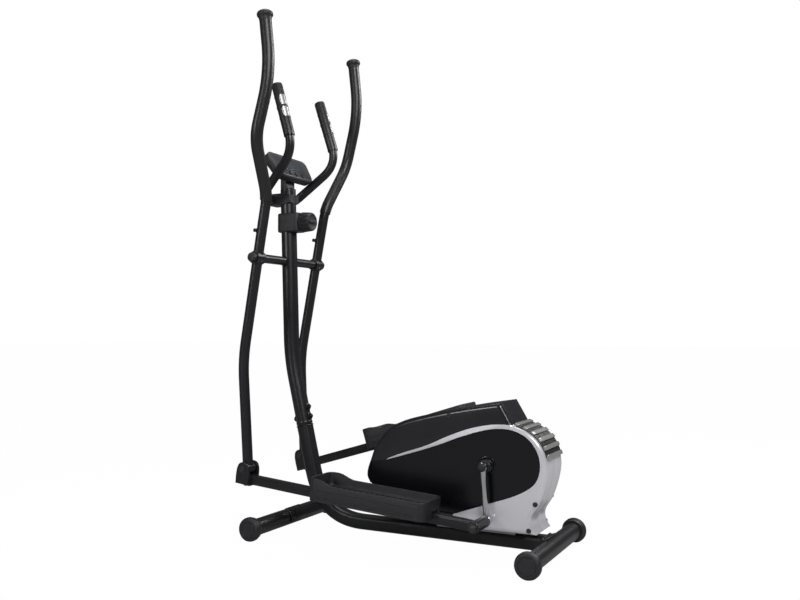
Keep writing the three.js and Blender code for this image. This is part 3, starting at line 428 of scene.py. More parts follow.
def buildDust():
    # a little dust where a surface faces up
    tree, given, result = newTree("settledDust", "ShaderNodeTree", [
        ("Vector", "Vector", (0, 0, 0)), ("Normal", "Vector", (0, 0, 1)), ("Amount", "Float", 0.1),
        ("Scale", "Float", 60)], [("Mask", "Float")])
    split = nodeOf(tree, "ShaderNodeSeparateXYZ", {0: given["Normal"]})
    upward = mathNode(tree, "POWER", mathNode(tree, "MAXIMUM", split.outputs["Z"], 0), 3)
    patches = noiseNode(tree, given["Vector"], given["Scale"], 5, 0.7)
    mask = mathNode(tree, "MULTIPLY", mathNode(tree, "MULTIPLY", upward, patches), given["Amount"], True)
    tree.links.new(mask, result["Mask"])
    return tree


def buildScuff():
    # long thin rub marks
    tree, given, result = newTree("rubMarks", "ShaderNodeTree", [
        ("Vector", "Vector", (0, 0, 0)), ("Amount", "Float", 0.3)], [("Mask", "Float")])
    stretched = nodeOf(tree, "ShaderNodeMapping", {"Vector": given["Vector"], "Rotation": (0.5, 0.3, 0.9),
                                                   "Scale": (1, 14, 1)})
    streaks = noiseNode(tree, stretched.outputs[0], 24, 6, 0.75)
    thin = mathNode(tree, "MULTIPLY", mathNode(tree, "SUBTRACT", streaks, 0.6), 6, True)
    tree.links.new(mathNode(tree, "MULTIPLY", thin, given["Amount"]), result["Mask"])
    return tree


grainGroup, dustGroup, scuffGroup = buildGrain(), buildDust(), buildScuff()

wear = dict(color=(0.42, 0.41, 0.40, 1), rough=0.8, drift=11, bumpStrength=0.6, coatRough=0.12)
plain = dict(specular=0.5, metal=0, coat=0, dust=0, scuff=0)
finishSizes = {
    "powder_coat": dict(color=(0.0085, 0.0087, 0.0104), rough=0.31, spread=0.08, tone=0.16, grain=1500, bump=0.0003,
                        dust=0.02, scuff=0.02, specular=0.45),
    "black_plastic": dict(color=(0.0140, 0.0142, 0.0164), rough=0.40, spread=0.10, tone=0.18, grain=2100, bump=0.0006,
                          dust=0.03, scuff=0.03, specular=0.4),
    # the shell's black is lighter than the side panel's, though both are one plastic: painted light for its lit top
    # and sheen
    "cover_black": dict(color=(0.0095, 0.0098, 0.0125), rough=0.23, spread=0.08, tone=0.12, grain=1300, bump=0.0001,
                        dust=0.01, scuff=0.01, coat=0.1),
    "cover_silver": dict(color=(0.57, 0.567, 0.605), rough=0.29, spread=0.06, tone=0.05, grain=2600, bump=0.00012,
                         scuff=0.01, metal=0.35, coat=0.6),
    "foam": dict(color=(0.0105, 0.0105, 0.0115), rough=0.34, spread=0.05, tone=0.14, grain=1100, bump=0.0005,
                 dust=0.01),
    "chrome": dict(color=(0.66, 0.67, 0.69), rough=0.07, spread=0.05, tone=0.04, grain=500, bump=0.00008, scuff=0.04,
                   metal=1),
    "steel": dict(color=(0.30, 0.31, 0.32), rough=0.38, spread=0.12, tone=0.12, grain=800, bump=0.0003, dust=0.03,
                  scuff=0.06, metal=0.9),
    "cast_iron": dict(color=(0.10, 0.10, 0.11), rough=0.62, spread=0.12, tone=0.25, grain=420, bump=0.0012, dust=0.06,
                      scuff=0.03, metal=0.7),
    "belt": dict(color=(0.018, 0.018, 0.018), rough=0.8, spread=0.08, tone=0.2, grain=900, bump=0.0008, dust=0.1,
                 specular=0.3),
    "lens": dict(color=(0.05, 0.06, 0.07), rough=0.12, spread=0.04, tone=0.06, grain=300, bump=0.00005, dust=0.04,
                 scuff=0.05, coat=0.6),
    "sensor": dict(color=(0.60, 0.605, 0.61), rough=0.34, spread=0.08, tone=0.05, grain=700, bump=0.0001, scuff=0.05,
                   metal=0.85),
}


def buildFinish(name, size):
    size = dict(plain, **size)
    material = bpy.data.materials.new(name)
    material.use_nodes = True
    tree = material.node_tree
    shader = tree.nodes["Principled BSDF"]
    for label, value in (("Specular IOR Level", size["specular"]), ("Metallic", size["metal"]),
                         ("Coat Weight", size["coat"]), ("Coat Roughness", wear["coatRough"])):
        shader.inputs[label].default_value = value
    place = tree.nodes.new("ShaderNodeTexCoord").outputs["Object"]
    normal = tree.nodes.new("ShaderNodeNewGeometry").outputs["Normal"]
    grain = nodeOf(tree, "ShaderNodeGroup", {
        "Vector": place, "Grain Scale": size["grain"], "Drift Scale": wear["drift"], "Tone": size["tone"],
        "Roughness": size["rough"], "Spread": size["spread"]}, node_tree=grainGroup).outputs
    dust = nodeOf(tree, "ShaderNodeGroup", {"Vector": place, "Normal": normal, "Amount": size["dust"]},
                  node_tree=dustGroup)
    scuff = nodeOf(tree, "ShaderNodeGroup", {"Vector": place, "Amount": size["scuff"]}, node_tree=scuffGroup)
    toned = nodeOf(tree, "ShaderNodeVectorMath", {0: size["color"], "Scale": grain["Tone"]}, operation="SCALE")
    marks = mathNode(tree, "ADD", dust.outputs["Mask"], scuff.outputs["Mask"], True)
    worn = nodeOf(tree, "ShaderNodeMix", {"Factor": marks, "A": toned.outputs[0], "B": wear["color"]},
                  data_type="RGBA")
    rough = mathNode(tree, "ADD", grain["Roughness"], mathNode(tree, "MULTIPLY", marks, wear["rough"]), True)
    bump = nodeOf(tree, "ShaderNodeBump", {"Height": grain["Height"], "Distance": size["bump"],
                                           "Strength": wear["bumpStrength"]})
    for label, output in (("Base Color", worn.outputs["Result"]), ("Roughness", rough), ("Normal", bump.outputs[0])):
        tree.links.new(output, shader.inputs[label])
    return material


finishes = {name: buildFinish(name, size) for name, size in finishSizes.items()}
shades = {
    "dark_bolts": ("steel", dict(color=(0.045, 0.046, 0.05), rough=0.35, metal=0.6)),
    # the cover silver darkened for the ribs: painted shade, not a different metal
    "rib_painted_shade": ("cover_silver", dict(color=(0.23, 0.232, 0.226), rough=0.38, metal=0.2)),
    # the black plastic made lighter grey for the console face: painted light on its upward face
    "console_lit_grey": ("black_plastic", dict(color=(0.045, 0.046, 0.05), rough=0.3)),
    # the side panel keeps the cover's darker black; the shell's black above is raised as painted light
    "panel_black": ("cover_black", dict(color=(0.0026, 0.0027, 0.0042), specular=0.42, coat=0)),
}
for name, (base, change) in shades.items():
    finishes[name] = buildFinish(name, dict(finishSizes[base], **change))
print("finishes built:", len(finishes))


# geometry nodes

def newField(name, inputs):
    # a geometry tree with its own sizes and the material it sets
    rows = [("Geometry", "Geometry", None)] + inputs + [("Material", "Material", None)]
    return newTree(name, "GeometryNodeTree", rows, [("Geometry", "Geometry")])


def scattered(tree, given, result, points, shape, turned=None):
    # the shape on each point, made real and given the material
    sockets = {"Points": points, "Instance": shape}
    if turned:
        sockets["Rotation"] = turned
    place = nodeOf(tree, "GeometryNodeInstanceOnPoints", sockets)
    realize = nodeOf(tree, "GeometryNodeRealizeInstances", {0: place.outputs[0]})
    setter = nodeOf(tree, "GeometryNodeSetMaterial", {"Geometry": realize.outputs[0], "Material": given["Material"]})
    tree.links.new(setter.outputs[0], result[0])
    return tree


def softBox(tree, x, y, z, crease):
    size = nodeOf(tree, "ShaderNodeCombineXYZ", {0: x, 1: y, 2: z})
    cube = nodeOf(tree, "GeometryNodeMeshCube", {"Size": size.outputs[0]})
    return nodeOf(tree, "GeometryNodeSubdivisionSurface", {"Mesh": cube.outputs["Mesh"], "Level": 3,
                                                           "Edge Crease": crease}).outputs[0]


def buildRibRow():
    # bars set across a path, turned to stand off it
    tree, given, result = newField("ribRow", [
        ("Count", "Int", 6), ("Width", "Float", 0.14), ("Thickness", "Float", 0.01), ("Height", "Float", 0.01)])
    path = nodeOf(tree, "GeometryNodeMeshToCurve", {"Mesh": given["Geometry"]})
    evenly = nodeOf(tree, "GeometryNodeResampleCurve", {"Curve": path.outputs[0], "Count": given["Count"]})
    tangent = tree.nodes.new("GeometryNodeInputTangent").outputs[0]
    align = nodeOf(tree, "FunctionNodeAlignRotationToVector", {"Vector": tangent}, axis="Y", pivot_axis="X")
    bar = softBox(tree, given["Width"], given["Thickness"], given["Height"], 0.72)
    return scattered(tree, given, result, evenly.outputs[0], bar, align.outputs[0])


def buildScrewSet():
    # pan heads with a hex socket, one on each point, their axis along X
    tree, given, result = newField("screwSet", [("Radius", "Float", 0.004), ("Depth", "Float", 0.003)])
    head = nodeOf(tree, "GeometryNodeMeshCylinder", {"Vertices": 24, "Radius": given["Radius"],
                                                     "Depth": given["Depth"]})
    socket = nodeOf(tree, "GeometryNodeMeshCylinder", {
        "Vertices": 6, "Radius": mathNode(tree, "MULTIPLY", given["Radius"], 0.5),
        "Depth": mathNode(tree, "MULTIPLY", given["Depth"], 1.6)})
    up = nodeOf(tree, "ShaderNodeCombineXYZ", {"Z": given["Depth"]})
    shift = nodeOf(tree, "GeometryNodeTransform", {"Geometry": socket.outputs["Mesh"], "Translation": up.outputs[0]})
    hollow = nodeOf(tree, "GeometryNodeMeshBoolean", {"Mesh 1": head.outputs["Mesh"], "Mesh 2": shift.outputs[0]},
                    operation="DIFFERENCE")
    position = tree.nodes.new("GeometryNodeInputPosition").outputs[0]
    split = nodeOf(tree, "ShaderNodeSeparateXYZ", {0: position})
    outward = mathNode(tree, "MULTIPLY", mathNode(tree, "SIGN", split.outputs["X"]), math.pi / 2)
    side = nodeOf(tree, "ShaderNodeCombineXYZ", {"Y": outward})
    turned = nodeOf(tree, "FunctionNodeEulerToRotation", {0: side.outputs[0]})
    return scattered(tree, given, result, given["Geometry"], hollow.outputs["Mesh"], turned.outputs[0])


def buildTreadField():
    # a field of low bars over a tray's floor
    tree, given, result = newField("treadField", [
        ("Length", "Float", 0.3), ("Width", "Float", 0.08), ("Rows", "Int", 12), ("Columns", "Int", 3),
        ("Bar Length", "Float", 0.02), ("Bar Width", "Float", 0.005), ("Bar Height", "Float", 0.003)])
    grid = nodeOf(tree, "GeometryNodeMeshGrid", {"Size X": given["Width"], "Size Y": given["Length"],
                                                 "Vertices X": given["Columns"], "Vertices Y": given["Rows"]})
    bar = softBox(tree, given["Bar Length"], given["Bar Width"], given["Bar Height"], 0.6)
    return scattered(tree, given, result, grid.outputs["Mesh"], bar)


ribRow, screwSet, treadField = buildRibRow(), buildScrewSet(), buildTreadField()


def grown(name, tree, values, look, points=(), edges=()):
    # an object made by a tree from a few points, its result kept as a plain mesh
    mesh = bpy.data.meshes.new(name)
    mesh.from_pydata([tuple(p) for p in points], edges, [])
    piece = linked(name, mesh)
    modifier = piece.modifiers.new("grow", "NODES")
    modifier.node_group = tree
    values = dict(values, Material=finishes[look])
    for item in tree.interface.items_tree:
        if item.item_type == "SOCKET" and item.in_out == "INPUT" and item.name in values:
            modifier[item.identifier] = values[item.name]
    return applied(piece)


# camera, light and floor

cameraSizes = dict(place=(-2.2938, -1.1649, 0.6356), heading=27.07, rise=2.0, lens=37.99, sensor=36, near=0.05,
                   far=100)
lampSizes = {
    "key": dict(place=(-2.6, -2.6, 3.0), size=1.1, power=110),
    "fill": dict(place=(-3.4, 1.4, 1.6), size=0.9, power=30),
    "rim": dict(place=(2.2, -1.6, 2.6), size=1.0, power=60),
    "top": dict(place=(0.2, 0.3, 3.6), size=2.0, power=45),
}
lampTarget = Vector((0, 0, 0.7))
floorSizes = dict(size=60, drop=0.0005, shade=0.9, rough=0.9, specular=0.1, clean=0.985, world=0.22, mirrored=0.08,
                  glow=0.1, mirrorShare=0.75)


def aimed(piece, place, forward):
    piece.location = place
    piece.rotation_euler = forward.to_track_quat("-Z", "Y").to_euler()


def rayKinds(tree):
    # whether a ray comes straight from the camera, and whether it was mirrored or let through
    light = tree.nodes.new("ShaderNodeLightPath").outputs
    return light["Is Camera Ray"], mathNode(tree, "ADD", light["Is Glossy Ray"], light["Is Transmission Ray"], True)


def buildFloor():
    f = floorSizes
    bm = bmesh.new()
    half = f["size"] / 2
    bm.faces.new([bm.verts.new((x * half, y * half, -f["drop"])) for x, y in ((-1, -1), (1, -1), (1, 1), (-1, 1))])
    floor = objectOf("floor", bm)
    material = bpy.data.materials.new("floor")
    material.use_nodes = True
    tree = material.node_tree
    shader = tree.nodes["Principled BSDF"]
    shader.inputs["Base Color"].default_value = (f["shade"], f["shade"], f["shade"], 1)
    shader.inputs["Roughness"].default_value = f["rough"]
    shader.inputs["Specular IOR Level"].default_value = f["specular"]
    straight, mirrored = rayKinds(tree)
    seen = mathNode(tree, "MULTIPLY", straight, f["clean"])
    factor = mathNode(tree, "ADD", seen, mathNode(tree, "MULTIPLY", mirrored, f["mirrorShare"]), True)
    glow = nodeOf(tree, "ShaderNodeEmission", {"Strength": mathNode(tree, "MAXIMUM", straight, f["glow"])})
    mix = nodeOf(tree, "ShaderNodeMixShader", {0: factor, 1: shader.outputs[0], 2: glow.outputs[0]})
    tree.links.new(mix.outputs[0], tree.nodes["Material Output"].inputs["Surface"])
    floor.data.materials.append(material)


def buildStage():
    c = cameraSizes
    camera = linked("camera", bpy.data.cameras.new("camera"))
    heading, rise = math.radians(c["heading"]), math.radians(c["rise"])
    aimed(camera, c["place"], Vector((math.cos(heading) * math.cos(rise), math.sin(heading) * math.cos(rise),
                                      math.sin(rise))))
    camera.data.lens, camera.data.sensor_width = c["lens"], c["sensor"]
    camera.data.clip_start, camera.data.clip_end = c["near"], c["far"]
    bpy.context.scene.camera = camera
    for name, size in lampSizes.items():
        lamp = linked(name, bpy.data.lights.new(name, "AREA"))
        lamp.data.size, lamp.data.energy = size["size"], size["power"]
        aimed(lamp, size["place"], lampTarget - Vector(size["place"]))
    buildFloor()
    world = bpy.data.worlds.new("studio")
    bpy.context.scene.world = world
    world.use_nodes = True
    tree = world.node_tree
    background = tree.nodes["Background"]
    background.inputs["Color"].default_value = (1, 1, 1, 1)
    straight, mirrored = rayKinds(tree)
    dimmed = mathNode(tree, "MULTIPLY", mirrored, floorSizes["world"] - floorSizes["mirrored"])
    shone = mathNode(tree, "SUBTRACT", floorSizes["world"], dimmed)
    tree.links.new(mathNode(tree, "MAXIMUM", straight, shone), background.inputs["Strength"])
    bpy.context.scene.view_settings.view_transform = "Standard"


buildStage()
print("camera, lamps and floor ready")


# frame

frameSizes = dict(mastRadius=0.025, bendZ=0.545, bendY=-0.016, lean=0.238, topZ=1.095, topY=0.002, bend=0.07,
                  sleeveZ=0.331, beamZ=0.042, beamWidth=0.046, beamHeight=0.044, beamCorner=0.014, beamBend=0.15,
                  legWidth=0.038, legHeight=0.030, saddleHalf=0.04, saddleWall=0.004, saddleBoltX=0.029,
                  stubLow=0.27, stubHigh=0.4, shaftCap=0.86, shaftWeld=0.0146)


def mastYAt(z):
    s = frameSizes
    if z < s["bendZ"]:
        return s["bendY"] - (s["bendZ"] - z) * s["lean"]
    return s["bendY"] + (z - s["bendZ"]) * (s["topY"] - s["bendY"]) / (s["topZ"] - s["bendZ"])


def buildStabilizers():
    for end in ("front", "rear"):
        low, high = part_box(end + "_stabilizer")
        middle = (low + high) / 2
        bm = bmesh.new()
        reach = (high.x - low.x) / 2
        rod(bm, middle - Vector((reach, 0, 0)), middle + Vector((reach, 0, 0)), (high.z - low.z) / 2, 0.001, 64)
        settle(objectOf(end + "Stabilizer", bm), "frame", "powder_coat", [end + "_stabilizer"])
        for side, sign in sides.items():
            node = f"{side}_{end}_end_cap"
            low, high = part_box(node)
            radius, length = (high.y - low.y) / 2, high.x - low.x
            face = Vector((high.x if sign > 0 else low.x, (low.y + high.y) / 2, high.z - radius))
            bm = bmesh.new()
            inner = frameSizes["mastRadius"] + 0.0004
            profile = [(0, -0.0012), (radius * 0.3, -0.001), (radius * 0.62, -0.0007), (radius * 0.64, -0.0016),
                       (radius * 0.68, -0.0016), (radius * 0.7, -0.0004), (radius * 0.82, 0), (radius * 0.9, -0.0011),
                       (radius * 0.965, -0.0035), (radius, -0.008), (radius, -0.017), (radius * 0.985, -0.0185),
                       (radius * 0.93, -0.0195), (radius * 0.915, -0.0205), (radius * 0.91, -length + 0.003),
                       (radius * 0.89, -length + 0.001), (radius * 0.87, -length), (inner, -length),
                       (inner, -0.006), (0, -0.006)]
            turn(bm, profile, face, (sign, 0, 0), 72)
            for vert in bm.verts:
                vert.co.z = max(vert.co.z, 0)
            settle(objectOf(f"{side}{end.title()}Cap", bm), "frame", "black_plastic", [node])


def saddleInto(bm, end, away):
    # a curved cheek that hugs a stabilizer from the beam's side
    s = frameSizes
    low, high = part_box(end + "_stabilizer")
    middle, radius = (low + high) / 2, (high.z - low.z) / 2 + fitGap
    outer = radius + s["saddleWall"]
    start, stop = (-24, 86) if away > 0 else (94, 204)
    arc = [(outer, math.radians(a)) for a in range(start, stop + 1, 5)]
    arc += [(radius, math.radians(a)) for a in range(stop, start - 1, -5)]
    outline = [(middle.y + r * math.cos(a), middle.z + r * math.sin(a)) for r, a in arc]
    plate(bm, outline, -s["saddleHalf"], s["saddleHalf"], 0.0008, 2)
    for x in (-s["saddleBoltX"], s["saddleBoltX"]):
        angle = math.radians(52 if away > 0 else 128)
        facing = Vector((0, math.cos(angle), math.sin(angle)))
        boltHead(bm, Vector((x, middle.y, middle.z)) + facing * outer, facing, 0.0062, 0.0045)


def weldInto(bm, points, radius):
    # a lumpy bead along closed points
    count = len(points)
    flat = Vector((0, 0, 0))
    for i in range(count):
        flat += points[i - 1].cross(points[i])
    rings = []
    for i in range(count):
        tangent = (points[(i + 1) % count] - points[i - 1]).normalized()
        side = tangent.cross(flat).normalized()
        up = side.cross(tangent)
        size = radius * (1 + 0.1 * math.sin(i * 2.4))
        rings.append([bm.verts.new(points[i] + side * x * size + up * y * size) for x, y in circle(1, 8)])
    for i in range(count):
        a, b = rings[i], rings[(i + 1) % count]
        for k in range(8):
            bm.faces.new((a[k], a[(k + 1) % 8], b[(k + 1) % 8], b[k]))


def buildBeam():
    s = frameSizes
    rearHigh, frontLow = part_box("rear_stabilizer")[1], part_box("front_stabilizer")[0]
    bm = bmesh.new()
    corner = at(0, mastYAt(s["beamZ"]), s["beamZ"])
    rear = Vector((0, rearHigh.y - 0.012, s["beamZ"]))
    topZ = s["sleeveZ"] - 0.0006
    route = bentRoute([rear, corner, at(0, mastYAt(topZ), topZ)], [s["beamBend"]], 24)
    sweep(bm, route, roundedRect(s["beamWidth"], s["beamHeight"], s["beamCorner"], 8), level=True)
    legStart = at(0, mastYAt(s["beamZ"]) - 0.025, 0.09)
    legEnd = Vector((0, frontLow.y + 0.012, s["beamZ"]))
    sweep(bm, [legStart, legEnd], roundedRect(s["legWidth"], s["legHeight"], 0.008), level=True)
    rod(bm, at(0, mastYAt(s["stubLow"]), s["stubLow"]), at(0, mastYAt(s["stubHigh"]), s["stubHigh"]),
        s["mastRadius"] - 0.0035)
    saddleInto(bm, "front", -1)
    saddleInto(bm, "rear", 1)
    weldZ = topZ - 0.004
    ring = [at(x, mastYAt(weldZ) + y * 0.97, weldZ - y * 0.22) for x, y in
            roundedRect(s["beamWidth"] + 0.0006, s["beamHeight"] + 0.0006, s["beamCorner"], 8)]
    weldInto(bm, ring, 0.0018)
    settle(objectOf("mainBeam", bm), "frame", "powder_coat", ["main_beam"])


mastBolts = dict(rows=((0.352, -1), (0.382, -1), (0.352, 1)), radius=0.0068)


def buildMast():
    s = frameSizes
    bm = bmesh.new()
    route = bentRoute([at(0, mastYAt(s["sleeveZ"]), s["sleeveZ"]), at(0, s["bendY"], s["bendZ"]),
                       at(0, s["topY"], s["topZ"])], [s["bend"]], 24)
    sweep(bm, route, circle(s["mastRadius"], 64))
    collar = at(0, mastYAt(s["sleeveZ"]), s["sleeveZ"])
    r = s["mastRadius"]
    turn(bm, [(r - 0.001, 0.0002), (r + 0.0004, 0.0002), (r + 0.001, 0.0010), (r + 0.001, 0.008),
              (r + 0.0004, 0.0094), (r - 0.001, 0.0094)], collar, (0, s["lean"], 1), 64, loop=True)
    facing = Vector((0, 1, -s["lean"])).normalized()
    for z, sign in mastBolts["rows"]:
        place = at(0, mastYAt(z), z) + facing * sign * (s["mastRadius"] - 0.0006)
        turn(bm, [(0, 0), (0.0115, 0), (0.0115, 0.0022), (0.0095, 0.0034), (0, 0.0034)], place, facing * sign, 32)
        boltHead(bm, place + facing * sign * 0.003, facing * sign, mastBolts["radius"], 0.0052)
    low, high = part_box("cross_shaft")
    for side in (-1, 1):
        ring = []
        for x, y in circle(s["shaftWeld"], 36):
            depth = math.sqrt(max(r * r - x * x, 0))
            ring.append(Vector((side * depth, (low.y + high.y) / 2 + x, (low.z + high.z) / 2 + y)))
        weldInto(bm, ring, 0.0019)
    settle(objectOf("mast", bm), "frame", "powder_coat", ["mast"])


def buildShaft():
    low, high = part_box("cross_shaft")
    middle, radius = (low + high) / 2, (high.z - low.z) / 2
    bm = bmesh.new()
    rod(bm, Vector((low.x, middle.y, middle.z)), Vector((high.x, middle.y, middle.z)), radius, 0.001, 48)
    settle(objectOf("crossShaft", bm), "frame", "powder_coat", ["cross_shaft"])
    for side, sign in sides.items():
        low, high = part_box(side + "_shaft_cap")
        r = (high.z - low.z) / 2 * frameSizes["shaftCap"]
        length = high.x - low.x
        tip = high.x if sign > 0 else low.x
        bm = bmesh.new()
        profile = [(radius * 0.9, -length), (r, -length), (r, -length * 0.35)]
        profile += [(r - 0.005 + 0.005 * math.cos(a), -0.005 + 0.004 * math.sin(a)) for a in (0.3, 0.7, 1.1, 1.4)]
        profile += [(r * 0.5, -0.0005), (0, 0)]
        turn(bm, [(0, -length)] + profile, (tip, middle.y, middle.z), (sign, 0, 0), 48)
        settle(objectOf(side + "ShaftCap", bm), "frame", "black_plastic", [side + "_shaft_cap"])


buildStabilizers()
buildBeam()
buildMast()
buildShaft()
print("frame tubes built")


# swing arms

armSizes = dict(radius=0.016, kneeDrop=0.318, kneeY=0.057, kneeBend=0.06, jointRise=0.092, lean=0.187,
                hubRadius=0.020, hubHalf=0.020, hubBore=0.0142, eyeRadius=0.017, eyeHalf=0.020, eyeBore=0.0064,
                boltRise=0.082)
handleSizes = dict(lowRise=0.190, highRise=0.350, highY=-0.062, highX=0.265, topBendRise=0.542, topBendY=-0.112,
                   topRise=0.710, topY=-0.093, topX=0.261, bends=(0.035, 0.045, 0.085), gripStart=0.085,
                   foam=0.0022, capSkirt=0.012, capTop=0.0198)


def armXAt(sign, z):
    top, low = joints["left_swing"], joints["left_pedal_joint"]
    return sign * (abs(low.x) + (abs(top.x) - abs(low.x)) * (z - low.z) / (top.z - low.z))


def armPoint(sign, z):
    return at(armXAt(sign, z), -(z - shaftZ) * armSizes["lean"], z)


def handleRoute(sign):
    h = handleSizes
    start = shaftZ + armSizes["jointRise"] + fitGap
    return bentRoute([armPoint(sign, start), armPoint(sign, shaftZ + h["lowRise"]),
                      at(sign * h["highX"], h["highY"], shaftZ + h["highRise"]),
                      at(sign * h["topX"], h["topBendY"], shaftZ + h["topBendRise"]),
                      at(sign * h["topX"], h["topY"], shaftZ + h["topRise"])], h["bends"], 18)


def buildLowerArm(side, sign):
    s = armSizes
    joint = joints[side + "_pedal_joint"]
    knee = at(armXAt(sign, shaftZ - s["kneeDrop"]), s["kneeY"], shaftZ - s["kneeDrop"])
    top = armPoint(sign, shaftZ + s["jointRise"])
    bm = bmesh.new()
    route = bentRoute([joint + Vector((0, 0.001, 0.0085)), knee, top], [s["kneeBend"]], 22)
    sweep(bm, route, circle(s["radius"], 48))
    hub = joints[side + "_swing"]
    bush(bm, s["hubBore"], s["hubRadius"], s["hubHalf"], hub)
    bush(bm, s["eyeBore"], s["eyeRadius"], s["eyeHalf"], joint)
    axis = (top - knee).normalized()
    forward = (Vector((0, 1, 0)) - axis * axis.y).normalized()
    place = armPoint(sign, shaftZ + s["boltRise"]) + forward * (s["radius"] - 0.001)
    turn(bm, [(0, 0), (0.0085, 0), (0.0085, 0.002), (0.0052, 0.004), (0.0052, 0.011), (0.0062, 0.012)]
         + sphereCap(0.0062, 0.012, 0.004, 4), place, forward, 24)
    for x in (-1, 1):
        ring = []
        for u, v in circle(s["radius"] + 0.0003, 30):
            reach = math.sqrt(max(s["hubRadius"] ** 2 - v * v, 0.0001))
            ring.append(hub + Vector((u, v, x * reach)))
        weldInto(bm, ring, 0.0015)
    settle(objectOf(side + "LowerArm", bm), side + "_swing_arm", "powder_coat", [side + "_lower_arm"])


def buildUpperHandle(side, sign):
    s, h = armSizes, handleSizes
    route = handleRoute(sign)
    bm = bmesh.new()
    sweep(bm, route, circle(s["radius"], 48))
    axis = (route[1] - route[0]).normalized()
    rod(bm, route[0] - axis * 0.03, route[0] + axis * 0.002, s["radius"] - 0.0023)
    settle(objectOf(side + "UpperHandle", bm), side + "_swing_arm", "powder_coat", [side + "_upper_handle"])
    # foam sleeve with a rolled lower edge
    start = h["gripStart"] / math.cos(math.atan(s["lean"]))
    end = routeLength(route) - h["capSkirt"] - 0.0004
    sleeve = routePart(route, start, end)
    outer = s["radius"] + fitGap + h["foam"]
    first = (sleeve[1] - sleeve[0]).length
    path = [sleeve[0] + (sleeve[1] - sleeve[0]).normalized() * d for d in (0, 0.0006, 0.0014, 0.0026)
            if d < first] + sleeve[1:]
    scales = [0.89, 0.95, 0.985, 1][:len(path) - len(sleeve) + 1]
    scales += [1] * (len(path) - len(scales))
    bm = bmesh.new()
    sweep(bm, path, circle(outer, 48), scales=scales)
    grip = settle(objectOf(side + "SwingGrip", bm), side + "_swing_arm", "foam", [side + "_swing_grip"])


def buildSwingCap(side, sign):
    h = handleSizes
    low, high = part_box(side + "_swing_cap")
    end = at(sign * h["topX"], h["topY"], shaftZ + h["topRise"])
    axis = Vector((0, h["topY"] - h["topBendY"], h["topRise"] - h["topBendRise"])).normalized()
    radius = (high.x - low.x) / 2
    neck = armSizes["radius"] + fitGap + h["foam"]
    top = h["capTop"]
    profile = [(0, -h["capSkirt"]), (neck, -h["capSkirt"]), (neck + 0.0004, -h["capSkirt"] + 0.002),
               (neck + 0.0008, -0.006), (neck + 0.002, -0.002), (radius - 0.0022, 0.0012), (radius - 0.0008, 0.0026),
               (radius, 0.0052), (radius, 0.0088), (radius - 0.0008, 0.0118), (radius - 0.003, 0.0146),
               (radius - 0.007, 0.0174), (radius - 0.012, top - 0.0006), (radius * 0.25, top), (0, top + 0.0001)]
    bm = bmesh.new()
    turn(bm, profile, end, axis, 64)
    settle(objectOf(side + "SwingCap", bm), side + "_swing_arm", "black_plastic", [side + "_swing_cap"])


for side, sign in sides.items():
    buildLowerArm(side, sign)
    buildUpperHandle(side, sign)
    buildSwingCap(side, sign)
print("swing arms built")


# pedals

pedalSizes = dict(tubeWidth=0.030, tubeHeight=0.028, frontDrop=0.032, rearDrop=0.005, nose=0.0265,
                  sleeveRadius=0.016, sleeveStart=0.1073, sleeveLength=0.088, earWall=0.005, shield=0.003)
traySizes = dict(start=0.268, length=0.374, width=0.123, inner=0.1065, floor=0.004, rim=0.0035, skirt=0.022,
                 rimHeight=0.030, toeHeight=0.044, toeStart=0.088, toeRun=0.056, tilt=0.8, corner=0.022, sideSteps=28,
                 treadRows=17, treadColumns=3, barLength=0.025, barWidth=0.0062, barHeight=0.0036)


def pedalPlace(side):
    # the pedal's own frame: joint at the origin, crank pin straight behind along -Y
    joint = joints[side + "_pedal_joint"]
    low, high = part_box(side + "_crank_pin")
    pin = (low + high) / 2
    back = Vector((0, joint.y - pin.y, joint.z - pin.z))
    angle = math.atan2(back.z, back.y)
    origin = Matrix.Translation((0, joint.y, joint.z))
    return origin @ Matrix.Rotation(angle, 4, "X"), back.length


def tubeSlope(reach):
    return math.atan2(pedalSizes["frontDrop"] - pedalSizes["rearDrop"], reach)


def tubePoint(reach, back, up=0, x=0):
    return Vector((x, -back, -pedalSizes["frontDrop"] + back * math.tan(tubeSlope(reach)) + up))


def buildPedalArm(side, sign, place, reach):
    p = pedalSizes
    middle = sign * abs(joints[side + "_pedal_joint"].x)
    bm = bmesh.new()
    nose = [tubePoint(reach, b, 0, middle) for b in (-p["nose"], -p["nose"] + 0.0008, -p["nose"] + 0.002)]
    rear = tubePoint(reach, reach, 0, middle)
    sweep(bm, nose + [rear], roundedRect(p["tubeWidth"], p["tubeHeight"], 0.006), level=True,
          scales=[0.94, 0.985, 1, 1])
    start = Vector((sign * p["sleeveStart"], -reach, 0))
    rod(bm, start, start + Vector((sign * p["sleeveLength"], 0, 0)), p["sleeveRadius"], 0.0014, 48)
    # fork cheeks round the swing joint, each thickened outward by a moulded shield
    half = armSizes["eyeHalf"] + fitGap
    outer = half + p["earWall"] + p["shield"]
    for face in (-1, 1):
        cheek = [(-0.0235, -0.045), (0.0235, -0.045), (0.0245, -0.02), (0.0215, 0.006), (0.0145, 0.0175),
                 (0, 0.0215), (-0.0145, 0.0175), (-0.0215, 0.006), (-0.0245, -0.02)]
        low, high = sorted((middle + face * half, middle + face * outer))
        plate(bm, smoothed(cheek, (0, 1), 5), low, high, 0.0028, 4)
    plate(bm, [(-0.026, -0.048), (0.028, -0.048), (0.028, -0.0175), (-0.026, -0.0175)], middle - half - 0.002,
          middle + half + 0.002, 0.002, 3)
    boltHead(bm, Vector((middle, 0.002, -0.0475)), (0, 0, -1), 0.0075, 0.006)
    bmesh.ops.transform(bm, matrix=place, verts=bm.verts)
    settle(objectOf(side + "PedalArm", bm), side + "_pedal", "powder_coat", [side + "_pedal_arm"])


